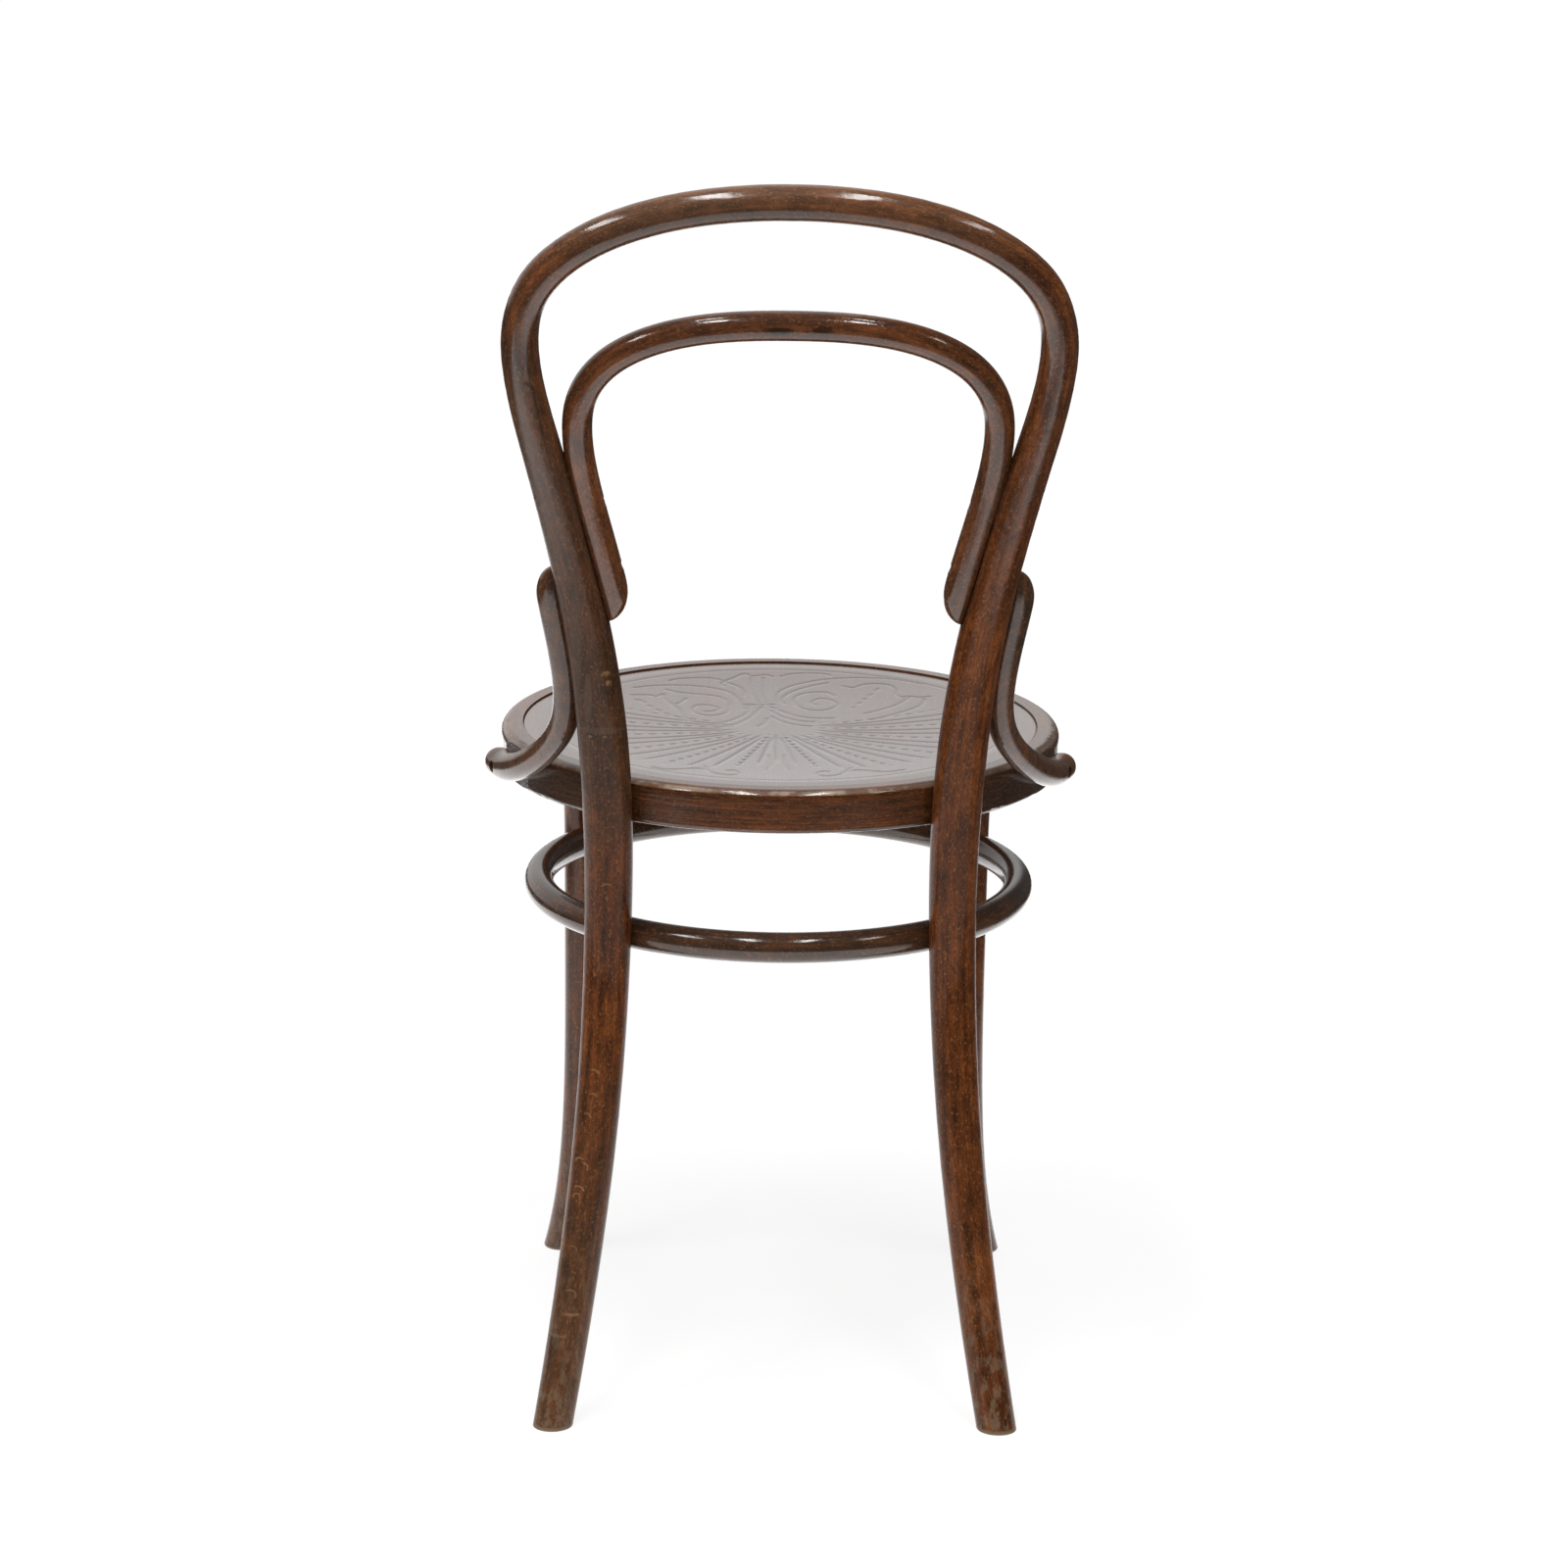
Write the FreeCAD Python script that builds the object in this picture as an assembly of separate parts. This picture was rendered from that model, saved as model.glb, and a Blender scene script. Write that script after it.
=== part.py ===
import FreeCAD, Part
import math
import os

os.makedirs("parts", exist_ok=True)

Vector = FreeCAD.Vector
UP = Vector(0, 0, 1)

# How finely the rounded forms are drawn
SECTION_POINTS = 12
ARCH_TURNS = (12, 30, 48, 68)
THUMB_TURNS = (84, 74, 58, 40, 20)
NOSE_TURNS = (25, 45, 62, 76)
LEG_SHARES = (0.0, 0.35, 0.68, 1.0)
SECTION_COUNTS = {"bow": 34, "inner bow": 22, "bracket": 26, "front leg": 24}

# A bentwood bistro chair, in millimetres. The floor is z = 0, the sitter faces -Y, and the
# origin is under the middle of the chair's outline. Plan angles are turned from +X.

# Overall sizes
seat_height = 460.0
chair_height = 890.5
seat_diameter = 406.0

# Seat ring: one steam-bent rail, rebated for the panel
seat_ring_height = 30.5
seat_ring_width = 28.0
seat_ring_top_round = 7.0
seat_ring_bottom_round = 3.0
panel_thickness = 6.0
panel_recess = 2.0
panel_ledge = 12.0
panel_dish = 5.0
panel_gap = 0.3

# Leg ring: the round hoop inside the four legs
leg_ring_height = 340.0
leg_ring_inset = 16.5
leg_ring_rod = 21.8

# Back bow: rear legs, posts and top arch are one bent rod, and these are its thicknesses
foot_rod = 27.8
leg_rod = 33.0
post_rod = 34.6
shoulder_rod = 24.8
crown_rod = 24.2
post_full_rise = 45.0

# Back bow: its line, seen from the front and from the side
post_angle = 34.1
rear_leg_angle = 37.5
rear_foot_track = 314.0
rear_foot_kick = 62.0
rear_flare_power = 1.7
elbow_rise = 126.0
elbow_track = 267.6
shoulder_drop = 164.6
shoulder_track = 334.2
bow_arch_rise = 94.6
bow_track = 356.0
bow_fullness = 2.15
back_lean_slope = 0.2
back_curve_radius = 3840.0

# Inner bow
inner_rod = 20.4
inner_bow_gap = 84.8
inner_bow_track = 281.4
inner_arch_rise = 76.0
inner_bow_fullness = 2.5
inner_end_drop = 219.0
inner_seat_length = 108.0
inner_screw_places = (-0.3, 0.6)
thumb_length = 26.0

# Front legs
front_leg_top_rod = 32.0
front_leg_mid_rod = 28.0
front_foot_rod = 24.0
front_leg_top_angle = 51.0
front_leg_angle = 48.5
front_foot_splay = 24.0
front_flare_power = 5.0
tenon_diameter = 18.0
tenon_length = 16.0
foot_round = 2.0

# Side brackets between the posts and the seat ring
bracket_rod = 20.8
bracket_bend_rod = 18.8
bracket_top_rise = 176.0
bracket_seat_rise = 101.0
bracket_free_rise = 58.0
bracket_side_angle = 35.0
bracket_free_out = 26.0
bracket_free_forward = 22.0
bracket_bend_angle = 42.6
bracket_bend_out = 16.5
bracket_bend_rise = 33.5
bracket_hold_angle = 21.0
bracket_hold_rise = -1.0
bracket_hold_back = 20.0
bracket_hold_climb = 4.0
bracket_end_reach = 12.0

# Flats where round members meet
notch_depth = 1.5
shave_depth = 2.5
side_shave = 1.0
fit_gap = 0.3

# Corner blocks glued inside the seat ring beside the front legs
block_depth = 16.0
block_height = 20.0
block_half_angle = 10.0

# Screws and bolts
screw_shank = 4.0
screw_head = 8.0
screw_head_height = 2.4
screw_dome = ((0.6, 0.15), (0.9, 0.45))
screw_slot_width = 1.0
screw_slot_depth = 1.0
screw_gap = 0.15
screw_bite = 10.0
bracket_recess = 4.0
flush_recess = 0.4
bolt_diameter = 6.0
bolt_bite = 15.0
bolt_drop = 2.5
nut_across_flats = 10.0
nut_height = 5.0
washer_diameter = 15.0
washer_height = 1.2
spot_face = 0.5
bolt_end = 1.5

# Places worked out from the sizes above
seat_radius = seat_diameter / 2
seat_underside = seat_height - seat_ring_height
seat_level = seat_height - seat_ring_height / 2
ring_inner_radius = seat_radius - seat_ring_width
rebate_radius = ring_inner_radius + panel_ledge
panel_underside = seat_height - panel_recess - panel_thickness
leg_ring_radius = seat_radius - leg_ring_inset
leg_ring_line = leg_ring_radius - leg_ring_rod / 2
crown_height = chair_height - crown_rod / 2
spring_height = crown_height - bow_arch_rise
inner_crown_height = crown_height - inner_bow_gap
seat_flat_radius = seat_radius - notch_depth
leg_flat_radius = leg_ring_radius - notch_depth
post_line_radius = seat_flat_radius + post_rod / 2 - shave_depth
rear_leg_line_radius = leg_flat_radius + leg_rod / 2 - shave_depth
front_leg_line_radius = leg_flat_radius + front_leg_mid_rod / 2 - shave_depth
front_leg_top_radius = seat_radius - seat_ring_width / 2
post_setback = post_line_radius * math.cos(math.radians(post_angle))


def lean_setback(height):
    """Distance of the back's middle surface behind the seat's centre, at a height."""
    rise = height - seat_level
    return post_setback + back_lean_slope * rise + rise * rise / (2 * back_curve_radius)


# The outline runs from the seat ring's front to the rear of the crown, and y = 0 halves it
seat_centre_y = (seat_radius - lean_setback(crown_height) - crown_rod / 2) / 2


def plan_direction(angle):
    """Unit vector in plan, with the angle in degrees from +X towards +Y."""
    return Vector(math.cos(math.radians(angle)), math.sin(math.radians(angle)), 0)


def around_seat(angle, radius, height):
    """A point given by its plan angle and radius about the seat's centre."""
    return plan_direction(angle) * radius + Vector(0, seat_centre_y, height)


def mirrored(shape):
    return shape.mirror(Vector(0, 0, 0), Vector(1, 0, 0))


def spline_through(points):
    curve = Part.BSplineCurve()
    curve.interpolate(points)
    return curve


def circle_wire(centre, along, radius, reference):
    """A circle square to the line, as a smooth closed curve, its seam always turned alike."""
    along = Vector(along).normalize()
    side = along.cross(reference).normalize()
    up = along.cross(side)
    points = []
    for step in range(SECTION_POINTS):
        turn = 2 * math.pi * step / SECTION_POINTS
        points.append(centre + side * (radius * math.cos(turn)) + up * (radius * math.sin(turn)))
    curve = Part.BSplineCurve()
    curve.interpolate(Points=points, PeriodicFlag=True)
    return Part.Wire([curve.toShape()])


def rod(stations, reference):
    """A round rod lofted through stations, each a centre, a direction and a radius."""
    sections = [circle_wire(*station, reference) for station in stations]
    return Part.makeLoft(sections, True, False)


def stations_along(curve, radius_at, count, share=1.0):
    """Evenly spaced stations on the first share of a curve, both ends included."""
    stations = []
    first = curve.FirstParameter
    last = first + (curve.LastParameter - first) * share
    for step in range(count + 1):
        parameter = first + (last - first) * step / count
        centre = curve.value(parameter)
        stations.append((centre, curve.tangent(parameter)[0], radius_at(centre.z)))
    return stations


def whole(half):
    """A symmetric member from its left half, which ends square at x = 0."""
    return half.fuse(mirrored(half))


def facing_box(point, outward, width, height, depth):
    """A box with one face centred on the point, which reaches out along the direction."""
    box = Part.makeBox(depth, width, height, Vector(0, -width / 2, -height / 2))
    side = UP.cross(outward).normalize()
    turn = FreeCAD.Rotation(outward, side, outward.cross(side), "ZXY")
    box.Placement = FreeCAD.Placement(point, turn)
    return box


def slide(value, low, high, start, end):
    """A straight change from start to end while value runs from low to high."""
    share = min(max((value - low) / (high - low), 0.0), 1.0)
    return start + (end - start) * share


def post_radius(height):
    """Radius of the back bow at a height: thin feet, full posts, slender arch."""
    full_height = seat_level + post_full_rise
    if height < leg_ring_height:
        return slide(height, 0.0, leg_ring_height, foot_rod, leg_rod) / 2
    if height < full_height:
        return slide(height, leg_ring_height, seat_level, leg_rod, post_rod) / 2
    if height < spring_height:
        return slide(height, full_height, spring_height, post_rod, shoulder_rod) / 2
    return slide(height, spring_height, crown_height, shoulder_rod, crown_rod) / 2


def arch_points(half_width, low_height, top_height, fullness):
    """Points of a superelliptic arch, from beside its spring up towards its crown."""
    points = []
    for turn in ARCH_TURNS:
        across = math.cos(math.radians(turn)) ** (2 / fullness)
        rise = math.sin(math.radians(turn)) ** (2 / fullness)
        height = low_height + (top_height - low_height) * rise
        points.append(Vector(half_width * across, seat_centre_y + lean_setback(height), height))
    return points


def both_sides(side_points, crown):
    """The left half's points, the crown, and the same points mirrored back down."""
    right = [Vector(-point.x, point.y, point.z) for point in reversed(side_points)]
    return side_points + [crown] + right


def back_point(track, height):
    """A point of the left post's line, by the width between the posts and its height."""
    return Vector(track / 2, seat_centre_y + lean_setback(height), height)


def rear_leg_point(height):
    """The rear leg sweeps out and back from the leg ring to the foot."""
    ring = around_seat(90 - rear_leg_angle, rear_leg_line_radius, leg_ring_height)
    share = ((leg_ring_height - height) / leg_ring_height) ** rear_flare_power
    outward = (rear_foot_track / 2 - ring.x) * share
    return Vector(ring.x + outward, ring.y + rear_foot_kick * share, height)


def bow_side_points():
    """The left side's points, from just under the floor, where the foot is sawn off."""
    points = []
    for share in LEG_SHARES:
        points.append(rear_leg_point(slide(share, 0, 1, -foot_rod / 2, leg_ring_height)))
    points.append(around_seat(90 - post_angle, post_line_radius, seat_level))
    points.append(back_point(elbow_track, seat_level + elbow_rise))
    points.append(back_point(shoulder_track, crown_height - shoulder_drop))
    points.append(back_point(bow_track, spring_height))
    return points


def bow_curve():
    points = bow_side_points()
    points += arch_points(bow_track / 2, spring_height, crown_height, bow_fullness)
    return spline_through(both_sides(points, back_point(0, crown_height)))


def post_line(height):
    """Centre and direction of the left post's line at a height."""
    low = BOW.FirstParameter
    high = (BOW.FirstParameter + BOW.LastParameter) / 2
    for _ in range(50):
        middle = (low + high) / 2
        if BOW.value(middle).z < height:
            low = middle
        else:
            high = middle
    return BOW.value(low), BOW.tangent(low)[0]


BOW = bow_curve()


def side_flat(low_height, high_height, turn):
    """The plane in which the left post meets a member beside it.

    The turn is the member's place round the post, in degrees from its outer side towards the
    front. It returns the plane's middle, the direction out of the post, and its direction up.
    """
    faces = []
    for height in (low_height, high_height):
        centre, along = post_line(height)
        outer = Vector(0, 1, 0).cross(along).normalize()
        across = FreeCAD.Rotation(along, -turn).multVec(outer)
        faces.append(centre + across * (post_radius(height) - side_shave))
    along = (faces[1] - faces[0]).normalize()
    outward = (across - along * across.dot(along)).normalize()
    return (faces[0] + faces[1]) * 0.5, outward, along


def side_box(middle, outward, along, length, depth):
    """A box that stands on a side flat and reaches out of the post."""
    width = post_rod + 2 * fit_gap
    box = Part.makeBox(depth, width, length, Vector(0, -width / 2, -length / 2))
    turn = FreeCAD.Rotation(outward, along.cross(outward), along, "ZXY")
    box.Placement = FreeCAD.Placement(middle, turn)
    return box


INNER_LOW = inner_crown_height - inner_end_drop
INNER_HIGH = INNER_LOW + inner_seat_length
BRACKET_LOW = seat_level + bracket_seat_rise
BRACKET_HIGH = seat_level + bracket_top_rise
inner_flat = side_flat(INNER_LOW, INNER_HIGH, 180)
bracket_flat = side_flat(BRACKET_LOW, BRACKET_HIGH, bracket_side_angle)


def thumb_stations(tip, along, inward, radius):
    """Stations of a thumb end, from its tip to where the member has its full radius.

    The tip lies on the flat, along points from the tip into the member, and inward points
    from the member into the flat.
    """
    stations = []
    for turn in THUMB_TURNS:
        share = math.cos(math.radians(turn))
        reach = thumb_length * (1 - math.sin(math.radians(turn)))
        centre = tip + along * reach - inward * (radius - side_shave) * share
        stations.append((centre, along, radius * share))
    return stations


def nose_stations(centre, along, radius):
    """Stations of a round nose that closes a rod beyond a centre."""
    stations = []
    for turn in NOSE_TURNS:
        reach = radius * math.sin(math.radians(turn))
        stations.append((centre + along * reach, along, radius * math.cos(math.radians(turn))))
    return stations


def turned_along(shape, start, direction):
    """Move a shape made along +Z so that it starts at a point and runs along a direction."""
    shape.Placement = FreeCAD.Placement(start, FreeCAD.Rotation(UP, direction))
    return shape


def at(radius, height):
    """A point of a section that is turned about +Z."""
    return Vector(radius, 0, height)


def revolved(corners):
    """A solid turned about +Z from corners given as radius and height."""
    points = [at(radius, height) for radius, height in corners]
    face = Part.Face(Part.makePolygon(points + [points[0]]))
    return face.revolve(Vector(0, 0, 0), UP, 360)


def screw(start, direction, length):
    """A slotted wood screw with a domed head, whose top is at the start."""
    radius = screw_head / 2
    shank = screw_shank / 2
    tip = length - screw_shank
    dome = [(radius * across, screw_head_height * drop) for across, drop in screw_dome]
    body = [(radius, screw_head_height), (shank, screw_head_height), (shank, tip), (0, length)]
    solid = revolved([(0, 0)] + dome + body)
    slot = Part.makeBox(screw_slot_width, screw_head, screw_slot_depth * 2)
    slot.translate(Vector(-screw_slot_width / 2, -radius, -screw_slot_depth))
    return turned_along(solid.cut(slot), start, direction)


def screw_hole(start, direction, length):
    """The counterbore and pilot hole of a screw, open on the side it is driven from."""
    bore = Part.makeCylinder(screw_head / 2 + fit_gap, screw_head + screw_head_height)
    bore.translate(Vector(0, 0, -screw_head))
    pilot = Part.makeCylinder(screw_shank / 2 + screw_gap, length + fit_gap)
    return turned_along(Part.makeCompound([bore, pilot]), start, direction)


def cut_all(solid, tools):
    return solid.cut([piece for tool in tools for piece in tool.Solids])


def left_and_right(shapes):
    return list(shapes) + [mirrored(shape) for shape in shapes]


def leg_ring_screw(angle, kind):
    """A screw, or its hole, from inside the leg ring into a leg at a plan angle."""
    inside = leg_ring_line - leg_ring_rod / 2 + flush_recess
    start = around_seat(angle, inside, leg_ring_height)
    return kind(start, plan_direction(angle), leg_flat_radius - inside + screw_bite)


REAR_ANGLE = 90 - rear_leg_angle
POST_ANGLE = 90 - post_angle
FRONT_ANGLE = front_leg_angle - 90
FRONT_TOP_ANGLE = front_leg_top_angle - 90
LEG_ANGLES = (REAR_ANGLE, FRONT_ANGLE)


def flat_box(angle, radius, height, width, tall, outward):
    """A box on a ring's flat, which reaches out from the flat or in from it."""
    direction = plan_direction(angle) * (1 if outward else -1)
    return facing_box(around_seat(angle, radius, height), direction, width, tall, post_rod)


def side_screw(flat, rise, rod_diameter, kind):
    """A screw, or its hole, square through a member beside the post and into the post."""
    middle, outward, along = flat
    start = middle + along * rise + outward * (rod_diameter - side_shave - flush_recess)
    return kind(start, outward * -1, rod_diameter - side_shave - flush_recess + screw_bite)


def inner_screws(kind):
    half = (INNER_HIGH - INNER_LOW) / 2
    return [side_screw(inner_flat, half * share, inner_rod, kind) for share in inner_screw_places]


def bracket_top_screw(kind):
    return side_screw(bracket_flat, 0.0, bracket_rod, kind)


def bracket_seat_screw(kind):
    """The screw through the bracket's lower end, deep in its counterbore."""
    outward = plan_direction(bracket_hold_angle)
    outside = seat_flat_radius + bracket_rod - side_shave - bracket_recess
    start = around_seat(bracket_hold_angle, outside, seat_level + bracket_hold_rise)
    return kind(start, outward * -1, outside - seat_flat_radius + screw_bite)


def seat_bolt_start():
    """Where the bolt's free end stands inside the seat ring."""
    reach = nut_height + washer_height + bolt_end - spot_face
    return around_seat(POST_ANGLE, ring_inner_radius - reach, seat_level - bolt_drop)


def seat_bolt():
    length = seat_flat_radius + bolt_bite - ring_inner_radius
    length += nut_height + washer_height + bolt_end - spot_face
    bolt = Part.makeCylinder(bolt_diameter / 2, length)
    return turned_along(bolt, seat_bolt_start(), plan_direction(POST_ANGLE))


def seat_bolt_hole():
    length = seat_flat_radius + bolt_bite + fit_gap - ring_inner_radius + washer_diameter
    start = around_seat(POST_ANGLE, ring_inner_radius - washer_diameter, seat_level - bolt_drop)
    hole = Part.makeCylinder(bolt_diameter / 2 + screw_gap, length)
    spot = Part.makeCylinder(washer_diameter / 2 + fit_gap, washer_diameter + spot_face)
    return turned_along(Part.makeCompound([hole, spot]), start, plan_direction(POST_ANGLE))


def bored(blank, height):
    """A blank along +Z with the bolt's clearance hole."""
    return blank.cut(Part.makeCylinder(bolt_diameter / 2 + screw_gap, height))


def seat_bolt_nut():
    corners = []
    across_corners = nut_across_flats / 2 / math.cos(math.radians(30))
    for step in range(7):
        corners.append(plan_direction(60 * step) * across_corners)
    blank = Part.Face(Part.makePolygon(corners)).extrude(UP * nut_height)
    start = seat_bolt_start() + plan_direction(POST_ANGLE) * bolt_end
    return turned_along(bored(blank, nut_height), start, plan_direction(POST_ANGLE))


def seat_bolt_washer():
    blank = Part.makeCylinder(washer_diameter / 2, washer_height)
    start = seat_bolt_start() + plan_direction(POST_ANGLE) * (bolt_end + nut_height)
    return turned_along(bored(blank, washer_height), start, plan_direction(POST_ANGLE))


def below_floor():
    size = chair_height
    return Part.makeBox(size * 2, size * 2, size, Vector(-size, -size, -size))


def back_bow():
    """The rear legs, posts and top arch, bent from one rod."""
    solid = rod(stations_along(BOW, post_radius, SECTION_COUNTS["bow"], 0.5), Vector(0, 1, 0))
    seat = flat_box(POST_ANGLE, seat_flat_radius, seat_level, post_rod + 2 * fit_gap,
                    seat_ring_height + 2 * fit_gap, False)
    ring = flat_box(REAR_ANGLE, leg_flat_radius, leg_ring_height, leg_rod + 2 * fit_gap,
                    leg_ring_rod + 2 * fit_gap, False)
    inner = side_box(*inner_flat, INNER_HIGH - INNER_LOW + 4 * fit_gap, post_rod)
    bracket = side_box(*bracket_flat, BRACKET_HIGH - BRACKET_LOW + 4 * fit_gap, post_rod)
    tools = [below_floor(), seat, ring, inner, bracket, leg_ring_screw(REAR_ANGLE, screw_hole)]
    tools += [seat_bolt_hole(), bracket_top_screw(screw_hole)] + inner_screws(screw_hole)
    return whole(cut_all(solid, tools))


def inner_bow():
    """The loop inside the back bow, whose ends lie along the posts."""
    middle, outward, along = inner_flat
    radius = inner_rod / 2
    half = (INNER_HIGH - INNER_LOW) / 2
    tip = middle - along * half
    line = middle + outward * (radius - side_shave)
    points = [line + along * rise for rise in (thumb_length - half, thumb_length - half / 2, half)]
    spring = inner_crown_height - inner_arch_rise
    points.append(back_point(inner_bow_track, spring))
    points += arch_points(inner_bow_track / 2, spring, inner_crown_height, inner_bow_fullness)
    curve = spline_through(both_sides(points, back_point(0, inner_crown_height)))
    stations = thumb_stations(tip, along, outward * -1, radius)
    stations += stations_along(curve, lambda height: radius, SECTION_COUNTS["inner bow"], 0.5)
    solid = rod(stations, Vector(0, 1, 0))
    clearance = side_box(middle, outward * -1, along, half * 3, post_rod)
    return whole(cut_all(solid, [clearance] + inner_screws(screw_hole)))


def quarter_round(radius, height, size, start):
    """A quarter of a circle about a point of the section, from a turn in degrees."""
    points = []
    for turn in (start, start + 45, start + 90):
        across = size * math.cos(math.radians(turn))
        points.append(at(radius + across, height + size * math.sin(math.radians(turn))))
    return Part.Arc(*points).toShape()


def ring_profile():
    """The seat ring's section: rounded outside, rebated on top for the panel."""
    inner, outer = ring_inner_radius, seat_radius
    low, high = seat_underside, seat_height
    top, bottom = seat_ring_top_round, seat_ring_bottom_round
    corners = [at(outer - top, high), at(rebate_radius, high), at(rebate_radius, panel_underside)]
    corners += [at(inner, panel_underside), at(inner, low), at(outer - bottom, low)]
    edges = [Part.makeLine(*pair) for pair in zip(corners, corners[1:])]
    edges.append(quarter_round(outer - bottom, low + bottom, bottom, -90))
    edges.append(Part.makeLine(at(outer, low + bottom), at(outer, high - top)))
    edges.append(quarter_round(outer - top, high - top, top, 0))
    return Part.Face(Part.Wire(Part.__sortEdges__(edges)))


def seat_ring():
    solid = ring_profile().revolve(Vector(0, 0, 0), UP, 360)
    solid.translate(Vector(0, seat_centre_y, 0))
    through = seat_ring_height + 2 * fit_gap
    post = flat_box(POST_ANGLE, seat_flat_radius, seat_level, post_rod + 2 * fit_gap, through, True)
    bracket = flat_box(bracket_hold_angle, seat_flat_radius, seat_level, seat_radius / 2, through, True)
    socket = Part.makeCylinder(tenon_diameter / 2 + screw_gap, tenon_length + fit_gap,
                               around_seat(FRONT_TOP_ANGLE, front_leg_top_radius, seat_underside))
    tools = [post, bracket, socket, seat_bolt_hole(), bracket_seat_screw(screw_hole)]
    return cut_all(solid, left_and_right(tools))


def dish_ball(level_radius, rim_height):
    """A ball whose lowest point lies the dish's depth under the level rim."""
    radius = (level_radius * level_radius + panel_dish * panel_dish) / (2 * panel_dish)
    return Part.makeSphere(radius, Vector(0, 0, rim_height - panel_dish + radius))


def seat_panel():
    """The pressed plywood panel, with a level rim on the ledge and a shallow dish."""
    rim = rebate_radius - panel_gap
    level = ring_inner_radius - panel_ledge / 4
    low = panel_underside
    high = low + panel_thickness
    blank = Part.makeCylinder(rim, panel_thickness, Vector(0, 0, low))
    sunk = Part.makeCylinder(level, panel_dish, Vector(0, 0, low - panel_dish))
    belly = sunk.common(dish_ball(level, low))
    solid = blank.fuse(belly).cut(dish_ball(level, high)).removeSplitter()
    solid.translate(Vector(0, seat_centre_y, 0))
    return solid


def leg_ring():
    centre = Vector(0, seat_centre_y, leg_ring_height)
    solid = Part.makeTorus(leg_ring_line, leg_ring_rod / 2, centre, UP)
    widths = {REAR_ANGLE: leg_rod, FRONT_ANGLE: front_leg_mid_rod}
    tools = [leg_ring_screw(angle, screw_hole) for angle in LEG_ANGLES]
    for angle, width in widths.items():
        tools.append(flat_box(angle, leg_flat_radius, leg_ring_height, width + 2 * fit_gap,
                              leg_ring_rod, True))
    return cut_all(solid, left_and_right(tools))


def front_leg_radius(height):
    if height > leg_ring_height:
        rod_here = slide(height, leg_ring_height, seat_underside, front_leg_mid_rod, front_leg_top_rod)
        return rod_here / 2
    return slide(height, 0.0, leg_ring_height, front_foot_rod, front_leg_mid_rod) / 2


def front_leg_centre(height):
    """The front leg is near upright, and its foot kicks outward."""
    ring = around_seat(FRONT_ANGLE, front_leg_line_radius, height)
    top = around_seat(FRONT_TOP_ANGLE, front_leg_top_radius, height)
    if height > leg_ring_height:
        share = (height - leg_ring_height) / (seat_underside - leg_ring_height)
        return ring + (top - ring) * share * share * (3 - 2 * share)
    share = ((leg_ring_height - height) / leg_ring_height) ** front_flare_power
    return ring + plan_direction(FRONT_ANGLE) * front_foot_splay * share


def front_leg():
    """A turned and bent front leg, with a round tenon that enters the seat ring."""
    stations = []
    count = SECTION_COUNTS["front leg"]
    step = seat_underside / count
    for number in range(-1, count + 2):
        height = step * number
        along = front_leg_centre(height + 1) - front_leg_centre(height - 1)
        stations.append((front_leg_centre(height), along, front_leg_radius(height)))
    solid = rod(stations, Vector(0, 1, 0)).cut(below_floor())
    top = Part.makeBox(seat_diameter * 2, seat_diameter * 2, seat_ring_height * 2,
                       Vector(-seat_diameter, -seat_diameter, seat_underside))
    solid = solid.cut(top)
    foot = [edge for edge in solid.Edges if edge.BoundBox.ZMax < fit_gap]
    solid = solid.makeFillet(foot_round, foot)
    shoulder = around_seat(FRONT_TOP_ANGLE, front_leg_top_radius, seat_underside - foot_round)
    tenon = Part.makeCylinder(tenon_diameter / 2, tenon_length + foot_round, shoulder)
    solid = solid.fuse(tenon)
    flat = flat_box(FRONT_ANGLE, leg_flat_radius, leg_ring_height, front_leg_mid_rod + 2 * fit_gap,
                    leg_ring_rod + 2 * fit_gap, False)
    return cut_all(solid, [flat, leg_ring_screw(FRONT_ANGLE, screw_hole)])


def bracket_radius(height):
    """Radius of the bracket at a height: it is slimmer where it is bent."""
    bend = seat_level + bracket_bend_rise
    if height < bend:
        return slide(height, seat_level, bend, bracket_rod, bracket_bend_rod) / 2
    return slide(height, bend, BRACKET_LOW, bracket_bend_rod, bracket_rod) / 2


def bracket():
    """The bent brace from the post's outer side, round to the side of the seat ring."""
    middle, outward, along = bracket_flat
    radius = bracket_rod / 2
    half = (BRACKET_HIGH - BRACKET_LOW) / 2
    line = middle + outward * (radius - side_shave)
    free = post_line(seat_level + bracket_free_rise)[0]
    free += Vector(bracket_free_out, -bracket_free_forward, 0)
    bend = around_seat(bracket_bend_angle, seat_radius + bracket_bend_out,
                       seat_level + bracket_bend_rise)
    hold = around_seat(bracket_hold_angle, seat_flat_radius + radius - side_shave,
                       seat_level + bracket_hold_rise)
    forward = plan_direction(bracket_hold_angle - 90)
    back = hold - forward * bracket_hold_back + UP * bracket_hold_climb
    end = hold + forward * bracket_end_reach
    points = [line + along * (half - thumb_length), line, line - along * half]
    points += [free, bend, back, hold, end]
    curve = spline_through(points)
    tip = middle + along * half
    stations = thumb_stations(tip, along * -1, outward * -1, radius)
    stations += stations_along(curve, bracket_radius, SECTION_COUNTS["bracket"])
    stations += nose_stations(end, curve.tangent(curve.LastParameter)[0], radius)
    solid = rod(stations, plan_direction(bracket_hold_angle))
    post = side_box(middle, outward * -1, along, half * 2 + 4 * fit_gap, post_rod)
    ring = flat_box(bracket_hold_angle, seat_flat_radius, seat_level, seat_radius / 2,
                    seat_ring_height * 1.5, False)
    tools = [post, ring, bracket_top_screw(screw_hole), bracket_seat_screw(screw_hole)]
    return cut_all(solid, tools)


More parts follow.
